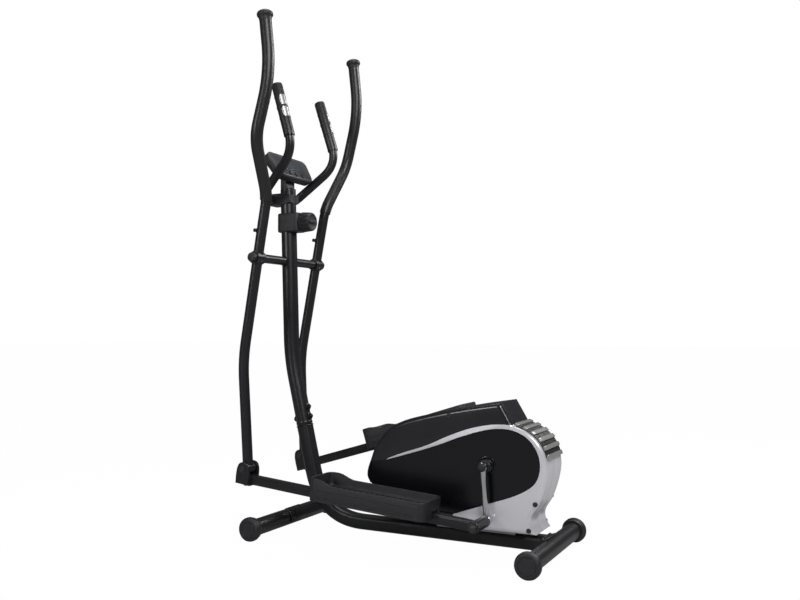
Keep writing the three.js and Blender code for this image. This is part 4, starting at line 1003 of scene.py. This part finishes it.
def buildPins(side, sign, place, reach):
    p = pedalSizes
    middle = sign * abs(joints[side + "_pedal_joint"].x)
    outer = p["sleeveStart"] + p["sleeveLength"]
    bm = bmesh.new()
    rod(bm, Vector((sign * (p["sleeveStart"] - 0.0028), -reach, 0)), Vector((sign * outer, -reach, 0)), 0.008)
    tip = Vector((sign * (outer - 0.0005), -reach, 0))
    disc(bm, 0.0148, 0, 0.0016, tip, (sign, 0, 0), 36)
    turn(bm, [(0, 0), (0.012, 0), (0.0125, 0.001), (0.0125, 0.0058), (0.0105, 0.0072), (0, 0.0072)],
         tip + Vector((sign * 0.0014, 0, 0)), (sign, 0, 0), 6)
    turn(bm, [(0, 0)] + sphereCap(0.0078, 0, 0.0035), tip + Vector((sign * 0.0084, 0, 0)), (sign, 0, 0), 32)
    bmesh.ops.transform(bm, matrix=place, verts=bm.verts)
    settle(objectOf(side + "CrankPin", bm), side + "_pedal", "steel", [side + "_crank_pin"], look="dark_bolts")
    bm = bmesh.new()
    reachOut = armSizes["eyeHalf"] + fitGap + p["earWall"] + p["shield"] + 0.0002
    rod(bm, Vector((middle - reachOut, 0, 0)), Vector((middle + reachOut, 0, 0)), 0.006)
    for face in (-1, 1):
        tip = Vector((middle + face * reachOut, 0, 0))
        disc(bm, 0.0125, -0.0006, 0.0008, tip, (face, 0, 0))
        turn(bm, [(0, 0), (0.0095, 0), (0.0095, 0.0042), (0.008, 0.0054), (0, 0.0054)], tip, (face, 0, 0), 6)
    bmesh.ops.transform(bm, matrix=place, verts=bm.verts)
    settle(objectOf(side + "SwingPin", bm), side + "_pedal", "steel", [side + "_swing_pin"], look="dark_bolts")


def buildTray(side, sign, place, reach):
    # one closed shell: skirt outside, rolled rim, inner wall with a soft root, ribbed floor
    t = traySizes
    half = t["length"] / 2

    def rimAt(y):
        rise = min(max((y - (half - t["toeStart"])) / t["toeRun"], 0), 1)
        return t["rimHeight"] + (t["toeHeight"] - t["rimHeight"]) * rise * rise * (3 - 2 * rise)

    def ring(bm, inward, height, byRim=0.0):
        corner = max(t["corner"] - inward, 0.002)
        outline = []
        base = roundedRect(t["width"] - 2 * inward, t["length"] - 2 * inward, corner, 10)
        for i, (x, y) in enumerate(base):
            outline.append((x, y))
            run = base[(i + 1) % len(base)][1] - y
            if abs(run) > t["corner"] * 2:
                outline += [(x, y + run * k / t["sideSteps"]) for k in range(1, t["sideSteps"])]
        return [bm.verts.new((x, y, height + byRim * rimAt(y))) for x, y in outline]

    bm = bmesh.new()
    rim = t["rim"]
    rows = [(0.0045, 0.0, 0), (0.0032, -t["skirt"], 0), (0.0008, -t["skirt"], 0), (0.0, -t["skirt"] + 0.001, 0),
            (0.0, -0.004, 0), (0.0, -0.0032, 0), (0.0, 0.0, 0), (0.0, -0.0022, 1), (0.0003, -0.0010, 1),
            (0.0010, -0.0002, 1), (rim / 2, 0, 1), (rim - 0.0010, -0.0002, 1), (rim - 0.0003, -0.0010, 1),
            (rim, -0.0022, 1), (rim + 0.0004, t["floor"] + 0.007, 0), (rim + 0.0012, t["floor"] + 0.0035, 0),
            (rim + 0.003, t["floor"] + 0.0012, 0), (rim + 0.0055, t["floor"] + 0.0002, 0),
            (rim + 0.008, t["floor"], 0)]
    skin(bm, [ring(bm, inward, height, byRim) for inward, height, byRim in rows])
    middleX = sign * (t["inner"] + t["width"] / 2)
    centre = tubePoint(reach, t["start"] + half, pedalSizes["tubeHeight"] / 2 + fitGap + 0.002)
    tilt = Matrix.Rotation(-tubeSlope(reach) - math.radians(t["tilt"]), 4, "X")
    whole = place @ Matrix.Translation((middleX, centre.y, centre.z + t["floor"] / 2)) @ tilt
    tray = objectOf(side + "FootTray", bm)
    # room for the pedal tube under the floor, open at both ends of the skirt
    bm = bmesh.new()
    tubeX = sign * abs(joints[side + "_pedal_joint"].x) - middleX
    room = pedalSizes["tubeWidth"] / 2 + 0.004
    plate(bm, [(-half - 0.02, -0.05), (half + 0.02, -0.05), (half + 0.02, -0.0005), (-half - 0.02, -0.0005)],
          tubeX - room, tubeX + room)
    carve(tray, "DIFFERENCE", objectOf("slot", bm))
    tray.data.transform(whole)
    treads = grown(side + "TrayTreads", treadField, {
        "Length": t["length"] - 0.075, "Width": t["width"] - 0.052, "Rows": t["treadRows"],
        "Columns": t["treadColumns"], "Bar Length": t["barLength"], "Bar Width": t["barWidth"],
        "Bar Height": t["barHeight"]}, "black_plastic")
    treads.data.transform(whole @ Matrix.Translation((0, -0.004, t["floor"] + 0.0004)))
    # three raised ribs along each outer wall
    walls = bmesh.new()
    for wall in (-1, 1):
        for z in (-0.0135, -0.0075, 0.0115):
            x = wall * (t["width"] / 2 + 0.0001)
            rod(walls, (x, -half + 0.03, z), (x, half - 0.03, z), 0.0011, 0.0006, 12)
    bmesh.ops.transform(walls, matrix=whole, verts=walls.verts)
    joined(tray, treads, objectOf("trayRibs", walls))
    settle(tray, side + "_pedal", "black_plastic", [side + "_foot_plate"])


for side, sign in sides.items():
    place, reach = pedalPlace(side)
    buildPedalArm(side, sign, place, reach)
    buildPins(side, sign, place, reach)
    buildTray(side, sign, place, reach)
print("pedals built")


# crank

crankSizes = dict(innerX=0.084, thickness=0.020, eye=0.014, waist=0.0078, depth=0.0085, bow=0.003, flare=0.45,
                  flatness=0.92)


def buildCrank(side, sign):
    c = crankSizes
    low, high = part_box(side + "_crank_pin")
    pin = (low + high) / 2
    x = sign * (c["innerX"] + c["thickness"] / 2)
    hub = Vector((x, crankHub.y, crankHub.z))
    end = Vector((x, pin.y, pin.z))
    bm = bmesh.new()
    route, scales = [], []
    steps = 30
    for i in range(steps + 1):
        t = i / steps
        bow = math.sin(math.pi * t) * c["bow"]
        route.append(hub.lerp(end, t) + Vector((sign * bow, 0, 0)))
        flare = 1 + c["flare"] * (abs(2 * t - 1) ** 4)
        scales.append(flare)
    section = roundedRect(c["depth"] * 2, c["waist"] * 2, c["waist"] * 0.92, 8)
    sweep(bm, route, [(x * c["flatness"], y) for x, y in section], level=True, scales=scales)
    half, r = c["thickness"] / 2, c["eye"]
    for point in (hub, end):
        turn(bm, [(0, -half), (r - 0.003, -half), (r - 0.0008, -half + 0.001), (r, -half + 0.0035),
                  (r, half - 0.0035), (r - 0.0008, half - 0.001), (r - 0.003, half), (0, half)],
             point, (sign, 0, 0), 48)
    settle(objectOf(side + "CrankArm", bm), "crank", "chrome", [side + "_crank_arm"])
    bm = bmesh.new()
    tip = hub + Vector((sign * half, 0, 0))
    turn(bm, [(0, -0.0004), (0.0118, -0.0004), (0.0122, 0.0006), (0.0122, 0.0036), (0.0112, 0.0052)]
         + sphereCap(0.0098, 0.0058, 0.0016, 5), tip, (sign, 0, 0), 40)
    root = hub - Vector((sign * half, 0, 0))
    turn(bm, [(0.009, 0), (0.0175, 0), (0.0185, 0.001), (0.0185, 0.005), (0.0175, 0.0056), (0.009, 0.0056)],
         root, (-sign, 0, 0), 48, loop=True)
    settle(objectOf(side + "HubCap", bm), "crank", "black_plastic")


for side, sign in sides.items():
    buildCrank(side, sign)
print("crank built")


# cover

# side view, rows of (y from the cross shaft, z), anticlockwise from the bottom of the nose
coverSizes = dict(
    halfWidth=0.075, wall=0.003, bevel=0.013, seam=0.0005, lip=0.0052, panelDepth=0.0062, panelWall=0.003,
    outline=[(-0.345, 0.178), (-0.335, 0.200), (-0.350, 0.255), (-0.368, 0.297), (-0.408, 0.341), (-0.446, 0.363),
             (-0.542, 0.391), (-0.670, 0.418), (-0.761, 0.433), (-0.797, 0.372), (-0.839, 0.355), (-0.866, 0.334),
             (-0.886, 0.302), (-0.894, 0.265), (-0.891, 0.230), (-0.869, 0.160), (-0.846, 0.118), (-0.849, 0.094),
             (-0.860, 0.076), (-0.600, 0.076), (-0.470, 0.112)],
    outlineCorners=(0, 8, 9, 18, 19, 20),
    band=[(-0.410, 0.256), (-0.460, 0.275), (-0.536, 0.301), (-0.600, 0.330), (-0.660, 0.353), (-0.710, 0.366),
          (-0.753, 0.372), (-0.797, 0.3719)],
    panel=[(-0.404, 0.251), (-0.470, 0.271), (-0.576, 0.306), (-0.640, 0.331), (-0.700, 0.350), (-0.753, 0.360),
           (-0.800, 0.357), (-0.841, 0.337), (-0.868, 0.300), (-0.875, 0.259), (-0.862, 0.219), (-0.825, 0.190),
           (-0.719, 0.148), (-0.618, 0.112)],
    screws=[(-0.606, 0.391), (-0.861, 0.161), (-0.842, 0.088)], screwRadius=0.0068, screwDepth=0.003,
    hubHole=0.021, behind=-1.0, floorSlot=dict(rear=-0.082, front=0.188, low=0.06, high=0.101, half=0.05))


def shifted(outline):
    return [(shaftY + u, v) for u, v in outline]


def buildCover(side, sign):
    c = coverSizes
    outline = shifted(smoothed(c["outline"], c["outlineCorners"], 6))
    band = smoothed(c["band"], (0, 7), 6, closed=False)
    panelTop = smoothed(c["panel"], (0, 13), 6, closed=False)
    far, deep = c["halfWidth"] + 0.02, 0.0002 * sign
    shell = platePiece(side + "CoverBlack", outline, -c["halfWidth"], c["halfWidth"], c["bevel"])
    cavity = platePiece("cavity", inset(outline, c["wall"]), -c["halfWidth"] + c["wall"], c["halfWidth"] - c["wall"],
                        c["bevel"] - c["wall"] / 2)
    carve(shell, "DIFFERENCE", cavity)
    f = c["floorSlot"]
    slot = [(crankHub.y + f[y], f[z]) for y, z in (("rear", "low"), ("front", "low"), ("front", "high"),
                                                   ("rear", "high"))]
    carve(shell, "DIFFERENCE", platePiece("floorSlot", slot, -f["half"], f["half"]))
    mask = shifted(band + [(c["behind"], c["band"][-1][1]), (c["behind"], 0.0), (c["panel"][-1][0], 0.0)]
                   + panelTop[::-1])
    silver = linked(side + "CoverSilver", shell.data.copy())
    carve(silver, "INTERSECT", platePiece("silverMask", mask, deep, sign * far))
    rounded(silver, c["lip"] * 0.55, 4, 50)
    settle(silver, "frame", "cover_silver", [side + "_cover_silver"], sharp=42)
    sideHalf = shifted([(-1.2, 0), (0, 0), (0, 0.6), (-1.2, 0.6)])
    carve(shell, "INTERSECT", platePiece("half", sideHalf, deep, sign * far))
    carve(shell, "DIFFERENCE", platePiece("wideMask", inset(mask, -c["seam"]), -far * 2, far * 2))
    edge = shifted(panelTop) + inset(shifted(c["outline"][20:] + c["outline"][:3]), 0.006)
    inner = sign * (c["halfWidth"] - c["bevel"] - 0.001)
    carve(shell, "DIFFERENCE", platePiece("panelHole", edge, inner, sign * far))
    settle(shell, "frame", "cover_black", [side + "_cover_black"], sharp=42)
    # the sunk side panel, with a soft rim round the crank hub
    plane = sign * (c["halfWidth"] - c["panelDepth"])
    panel = platePiece(side + "SidePanel", inset(edge, 0.0006), plane - sign * c["panelWall"], plane)
    r, centre = c["hubHole"], (plane, crankHub.y, crankHub.z)
    bm = bmesh.new()
    disc(bm, r, -0.02, 0.02, centre, (1, 0, 0), 64)
    carve(panel, "DIFFERENCE", objectOf("hubHole", bm))
    bm = bmesh.new()
    turn(bm, [(r - 0.001, -0.002), (r + 0.006, -0.002), (r + 0.0055, 0.0006), (r + 0.004, 0.0016),
              (r + 0.001, 0.0016), (r - 0.001, 0.0006)], centre, (sign, 0, 0), 64, loop=True)
    joined(panel, objectOf("hubRim", bm))
    settle(panel, "frame", "cover_black", [side + "_side_panel"], sharp=42, look="panel_black")
    # dark screw heads as wide as the holes: partly the screws' own dark steel, partly painted shade for the shaded
    # holes
    depth = c["halfWidth"] - 0.0002
    points = [(sign * depth, shaftY + y, z) for y, z in c["screws"]]
    screws = grown(side + "CoverScrews", screwSet, {"Radius": c["screwRadius"], "Depth": c["screwDepth"]},
                   "dark_bolts", points)
    settle(screws, "frame", "steel", look="dark_bolts")


ribSizes = dict(count=6, width=0.132, thickness=0.0125, height=0.014, start=0.008, end=0.058, shadeStrip=0.0014)


def buildCoverRibs():
    # the ribs that cross the rear of the cover, in a darker copy of the cover silver: painted shade
    r = ribSizes
    arc = [Vector((0, shaftY + u, v)) for u, v in smoothed(coverSizes["outline"][9:15], (), 8, closed=False)]
    length = routeLength(arc)
    arc = routePart(arc, r["start"], length - r["end"])
    ribs = grown("coverRibs", ribRow, {"Count": r["count"], "Width": r["width"], "Thickness": r["thickness"],
                                       "Height": r["height"]}, "rib_painted_shade", arc,
                 [(i, i + 1) for i in range(len(arc) - 1)])
    settle(ribs, "frame", "cover_silver", sharp=50, look="rib_painted_shade")
    # a black strip the ribs stand on: painted shade for the dark gaps between them
    along = [(arc[min(i + 1, len(arc) - 1)] - arc[max(i - 1, 0)]).normalized() for i in range(len(arc))]
    upper, lower = ([(p.y + t.z * lift, p.z - t.y * lift) for p, t in zip(arc, along)]
                    for lift in (r["shadeStrip"], -r["shadeStrip"]))
    half = r["width"] / 2 + 0.001
    shadeStrip = platePiece("ribShadeStrip", upper + lower[::-1], -half, half)
    settle(shadeStrip, "frame", "cover_silver", sharp=50, look="black_plastic")


for side, sign in sides.items():
    buildCover(side, sign)
buildCoverRibs()
print("cover built")


# drive inside the cover

driveFinishes = dict(drive_bracket="steel", left_crank_bearing="steel", right_crank_bearing="steel",
                     flywheel_axle="steel", flywheel="cast_iron", magnet_bracket="steel", drive_belt="belt",
                     crank_axle="steel", drive_pulley="black_plastic")
for node, slotName in driveFinishes.items():
    mesh = frame["nodes"][node].data
    mesh.materials.clear()
    mesh.materials.append(finishes[slotName])
print("drive finished")


# fixed handlebar

barSizes = dict(radius=0.014, frontY=0.044, z=1.062, bendX=0.087, lowX=0.130, lowY=-0.106, lowZ=1.192, topX=0.124,
                topY=-0.040, topZ=1.402, bends=(0.062, 0.034, 0.034, 0.062), foam=0.003, grip=0.172,
                sensorFromTop=0.036, sensor=0.078, sensorWall=0.0011, sensorArc=37, sensorSteps=16,
                bridge=0.0035)


def barRoute():
    b = barSizes
    right = [(b["bendX"], b["frontY"], b["z"]), (b["lowX"], b["lowY"], b["lowZ"]), (b["topX"], b["topY"], b["topZ"])]
    corners = [at(-x, y, z) for x, y, z in reversed(right)] + [at(x, y, z) for x, y, z in right]
    return bentRoute(corners, b["bends"], 18)


softEnds = [0.95, 1, 1, 0.95]


def buildHandlebar():
    b = barSizes
    route = barRoute()
    bm = bmesh.new()
    sweep(bm, route, circle(b["radius"], 48))
    settle(objectOf("fixedHandlebar", bm), "frame", "powder_coat", ["fixed_handlebar"])
    length = routeLength(route)
    outer = b["radius"] + fitGap + b["foam"]
    for side, sign in sides.items():
        half = route if sign > 0 else [p.copy() for p in reversed(route)]
        sleeve = routePart(half, length - b["grip"], length)
        end = sleeve[-1]
        along = (end - sleeve[-2]).normalized()
        first = (sleeve[1] - sleeve[0]).normalized()
        lead = [sleeve[0] + first * d for d in (0, 0.0008, 0.002)]
        tail = [end + along * d for d in (0, 0.0035, 0.0058, 0.0072, 0.0079)]
        path = lead + sleeve[1:-1] + tail
        scales = [0.9, 0.965, 1] + [1] * (len(sleeve) - 2) + [1, 0.965, 0.87, 0.7, 0.4]
        bm = bmesh.new()
        sweep(bm, path, circle(outer, 48), scales=scales)
        grip = settle(objectOf(side + "HandlebarGrip", bm), "frame", "foam", [side + "_handlebar_grip"], sharp=60)
        # two bright plates facing back and a little outward, with a dark bridge between them
        stop = length - b["sensorFromTop"]
        path = routePart(half, stop - b["sensor"], stop)
        start, finish = path[0], path[-1]
        along = (finish - start).normalized()
        facing = Vector((sign * 0.6, -1, 0))
        facing = (facing - along * facing.dot(along)).normalized()
        across = along.cross(facing)
        bm = bmesh.new()
        span = (finish - start).length
        for near, away in ((0.002, span / 2 - b["bridge"]), (span / 2 + b["bridge"], span - 0.002)):
            rings = []
            sweepAngle, count = math.radians(b["sensorArc"]), b["sensorSteps"]
            rows = [(near, 0), (near, 1), (near + 0.0016, 1.0), (away - 0.0016, 1.0), (away, 1), (away, 0)]
            for k in range(count + 1):
                angle = -sweepAngle + 2 * sweepAngle * k / count
                edge = min(1, 4 * (1 - abs(angle) / sweepAngle) + 0.02)
                outward = facing * math.cos(angle) + across * math.sin(angle)
                taper = 0.008 * max(0, abs(angle) / sweepAngle - 0.55) ** 2 / 0.2
                ring = []
                for d, lift in rows:
                    d = min(max(d, near + taper), away - taper)
                    size = outer + 0.0001 + b["sensorWall"] * lift * edge - (0.0006 if not lift else 0)
                    ring.append(bm.verts.new(start + along * d + outward * size))
                rings.append(ring)
            skin(bm, rings)
        settle(objectOf(side + "PulseSensor", bm), "frame", "sensor", [side + "_pulse_sensor"], sharp=50)
        bm = bmesh.new()
        ringPath = [start + along * (span / 2 + d) for d in (-0.0032, -0.0026, 0.0026, 0.0032)]
        sweep(bm, ringPath, circle(outer + 0.0010, 40), scales=softEnds)
        for d in (0.0005, span - 0.0035):
            sweep(bm, [start + along * (d + k) for k in (0, 0.0008, 0.0022, 0.003)], circle(outer + 0.0008, 40),
                  scales=softEnds)
        settle(objectOf(side + "SensorBridge", bm), "frame", "black_plastic")


clampSizes = dict(half=0.022, cheek=0.0055, boltX=0.0155, boltInset=0.0062, lobes=5)


def buildClamp():
    b, c = barSizes, clampSizes
    low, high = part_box("handlebar_clamp")
    bm = bmesh.new()
    mastY = shaftY + mastYAt(b["z"])
    y0, y1 = mastY - 0.024, high.y
    outline = [(y0, low.z + 0.006), (mastY, low.z), (y1, low.z), (y1, high.z), (mastY, high.z), (y0, high.z - 0.006)]
    plate(bm, outline, -c["half"] - c["cheek"], c["half"] + c["cheek"], 0.0045, 5)
    for x in (-c["boltX"], c["boltX"]):
        for z in (low.z + c["boltInset"], high.z - c["boltInset"]):
            boltHead(bm, Vector((x, y1 - 0.0006, z)), (0, 1, 0), 0.0035, 0.003)
    settle(objectOf("handlebarClamp", bm), "frame", "black_plastic", ["handlebar_clamp"])
    low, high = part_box("clamp_knob")
    middle = (low + high) / 2
    radius = (high.z - low.z) / 2
    bm = bmesh.new()
    lobes = []
    for i in range(80):
        angle = 2 * math.pi * i / 80
        size = radius * (0.9 + 0.1 * math.cos(c["lobes"] * angle))
        lobes.append((middle.x + size * math.cos(angle), middle.z + size * math.sin(angle)))
    plate(bm, lobes, low.y + 0.004, high.y, 0.003, 5, place=alongY)
    disc(bm, 0.008, 0, 0.005, (middle.x, low.y, middle.z), (0, 1, 0))
    turn(bm, [(0, 0)] + sphereCap(0.0075, 0, 0.0012), (middle.x, high.y - 0.0008, middle.z), (0, 1, 0), 32)
    settle(objectOf("clampKnob", bm), "clamp_knob", "black_plastic", ["clamp_knob"])


buildHandlebar()
buildClamp()
print("handlebar built")


# tension control

tensionSizes = dict(flutes=12, fluteDepth=0.0028, ticks=8, tickRing=0.79, seam=0.0009)


def buildTension():
    t = tensionSizes
    low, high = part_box("tension_housing")
    middle = (low + high) / 2
    width, depth = high.x - low.x, high.y - low.y
    outline = [(middle.x + x, middle.y + y) for x, y in roundedRect(width, depth, 0.0205, 10)]
    piece = platePiece("tensionHousing", outline, low.z, high.z, 0.005, 5, upZ)
    # a thin seam round the middle
    band = platePiece("seamCut", inset(outline, -0.004), middle.z - 0.0008, middle.z + 0.0008, place=upZ)
    core = platePiece("core", inset(outline, t["seam"]), middle.z - 0.01, middle.z + 0.01, place=upZ)
    carve(band, "DIFFERENCE", core)
    carve(piece, "DIFFERENCE", band)
    settle(piece, "frame", "black_plastic", ["tension_housing"])
    low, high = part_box("tension_knob")
    middle = (low + high) / 2
    radius, length = (high.x - low.x) / 2, high.y - low.y
    front = high.y
    bm = bmesh.new()
    rows = [(0.0, 0.6, 0), (0.0, 0.9, 0), (0.0012, 0.955, 0), (0.0028, 0.985, 0), (0.006, 0.985, 0.4),
            (0.010, 0.975, 1), (length - 0.009, 0.93, 1), (length - 0.005, 0.915, 0.8), (length - 0.002, 0.88, 0.4),
            (length - 0.0004, 0.82, 0), (length, 0.76, 0), (length - 0.0012, 0.72, 0), (length - 0.0018, 0.66, 0),
            (length - 0.0018, 0.3, 0)]
    rings = []
    for reach, size, flute in rows:
        ring = []
        for i in range(144):
            angle = 2 * math.pi * i / 144
            wave = max(0, math.cos(t["flutes"] * angle)) ** 2 * t["fluteDepth"] * flute
            r = radius * size - wave
            ring.append(bm.verts.new((middle.x + r * math.cos(angle), front - reach, middle.z + r * math.sin(angle))))
        rings.append(ring)
    skin(bm, rings)
    # a raised grip bar across the face and a ring of short ticks
    face = front - length + 0.0018
    bar = roundedRect(radius * 1.28, radius * 0.34, radius * 0.16, 6)
    plate(bm, [(middle.x + u, middle.z + v) for u, v in bar], face - 0.0046, face + 0.001, 0.0018, 4,
          place=alongY)
    for i in range(t["ticks"]):
        angle = math.radians(225 - 270 * i / (t["ticks"] - 1))
        ring = radius * t["tickRing"]
        u, v = middle.x + ring * math.cos(angle), middle.z + ring * math.sin(angle)
        rod(bm, (u, front - length + 0.0006, v), (u, front - length - 0.0005, v), 0.0011, 0.0004, 12)
    settle(objectOf("tensionKnob", bm), "tension_knob", "black_plastic", ["tension_knob"])


buildTension()
print("tension control built")


# console

consoleSizes = dict(lowWidth=0.180, topWidth=0.222, height=0.092, depth=0.033, front=0.007, tilt=56.7, lowY=-0.040,
                    lowZ=1.130, corner=0.022, lensWidth=0.104, lensHeight=0.046, buttonRadius=0.008,
                    buttonPitch=0.034, buttonRise=0.017, buttonProud=0.0025, bracketLow=0.008, bracketHigh=0.052)


def consolePlace():
    c = consoleSizes
    return Matrix.Translation(at(0, c["lowY"], c["lowZ"])) @ Matrix.Rotation(math.radians(c["tilt"]), 4, "X")


def consoleOutline(margin=0):
    c = consoleSizes
    width, height = (c["lowWidth"] + c["topWidth"]) / 2 - 2 * margin, c["height"] - 2 * margin
    spread = c["topWidth"] - c["lowWidth"]
    points = []
    for x, y in roundedRect(width, height, max(c["corner"] - margin, 0.002), 10):
        points.append((x * (1 + spread * y / (width * height)), y + c["height"] / 2))
    return points


def inConsole(name, bm):
    bmesh.ops.transform(bm, matrix=consolePlace(), verts=bm.verts)
    return objectOf(name, bm)


def consoleShell(name, rows):
    # the outline stacked up: rows are (margin, height)
    bm = bmesh.new()
    skin(bm, [[bm.verts.new((x, y, w)) for x, y in consoleOutline(margin)] for margin, w in rows])
    return inConsole(name, bm)


def buildConsole():
    c = consoleSizes
    back = consoleShell("consoleBack", [
        (0.030, -c["depth"]), (0.016, -c["depth"]), (0.008, -c["depth"] + 0.0012), (0.004, -c["depth"] + 0.0040),
        (0.0015, -c["depth"] + 0.009), (0.0004, -c["depth"] + 0.016), (0.0, -c["front"] - 0.0012),
        (0.0008, -c["front"] - 0.0004), (0.003, -c["front"] - 0.0004)])
    settle(back, "frame", "black_plastic", ["console_back"])
    front = consoleShell("consoleFront", [
        (0.003, -c["front"]), (0.0008, -c["front"]), (0.0, -c["front"] + 0.0008), (0.0, -0.0032), (0.0006, -0.0014),
        (0.0018, -0.0004), (0.0034, 0.0), (0.006, 0.0), (0.0072, -0.0006), (0.0086, -0.0006)])
    middle = c["height"] / 2 + 0.010
    bm = bmesh.new()
    seat = [(x, y + middle) for x, y in roundedRect(c["lensWidth"] + 0.0008, c["lensHeight"] + 0.0008, 0.0054, 6)]
    plate(bm, seat, -0.0024, 0.01, place=upZ)
    for i in (-1, 0, 1):
        centre = (i * c["buttonPitch"], c["buttonRise"], 0)
        disc(bm, c["buttonRadius"] + 0.0004, -0.0055, 0.01, centre, (0, 0, 1), 48)
    carve(front, "DIFFERENCE", inConsole("seat", bm))
    rounded(front, 0.0005, 2, 50)
    # the face is a lighter grey than the back's black: painted light on its upward face
    settle(front, "frame", "black_plastic", ["console_front"], look="console_lit_grey")
    bm = bmesh.new()
    glass = [(x, y + middle) for x, y in roundedRect(c["lensWidth"], c["lensHeight"], 0.005, 6)]
    plate(bm, glass, -0.002, -0.0001, 0.0006, 3, place=upZ)
    settle(inConsole("consoleLens", bm), "frame", "lens", ["console_lens"])
    for i, name in enumerate(("mode", "set", "reset")):
        r, proud = c["buttonRadius"], c["buttonProud"]
        bm = bmesh.new()
        profile = [(0, -0.0025), (r - 0.0004, -0.0025), (r, -0.002), (r, proud - 0.0012),
                   (r - 0.0004, proud - 0.0004), (r - 0.0014, proud), (r - 0.003, proud - 0.0004),
                   (0, proud - 0.0010)]
        turn(bm, profile, ((i - 1) * c["buttonPitch"], c["buttonRise"], 0), (0, 0, 1), 48)
        settle(inConsole(name + "Button", bm), name + "_button", "black_plastic", [name + "_button"])
    low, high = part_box("console_bracket")
    tilt = math.radians(c["tilt"])
    behind = c["depth"] + fitGap
    along, out = Vector((0, math.cos(tilt), math.sin(tilt))), Vector((0, math.sin(tilt), -math.cos(tilt)))
    base = at(0, c["lowY"], c["lowZ"]) + out * behind
    lowEdge, highEdge = base + along * c["bracketLow"], base + along * c["bracketHigh"]
    mastTop = frameSizes["topZ"] + fitGap
    bm = bmesh.new()
    plate(bm, [(highEdge.y, mastTop), (highEdge.y, highEdge.z), (lowEdge.y, lowEdge.z), (lowEdge.y, mastTop)],
          low.x, high.x, 0.003, 4)
    rod(bm, at(0, mastYAt(mastTop - 0.03), mastTop - 0.03), at(0, frameSizes["topY"], mastTop + 0.002), 0.0212)
    settle(objectOf("consoleBracket", bm), "frame", "black_plastic", ["console_bracket"])


buildConsole()
print("console built")
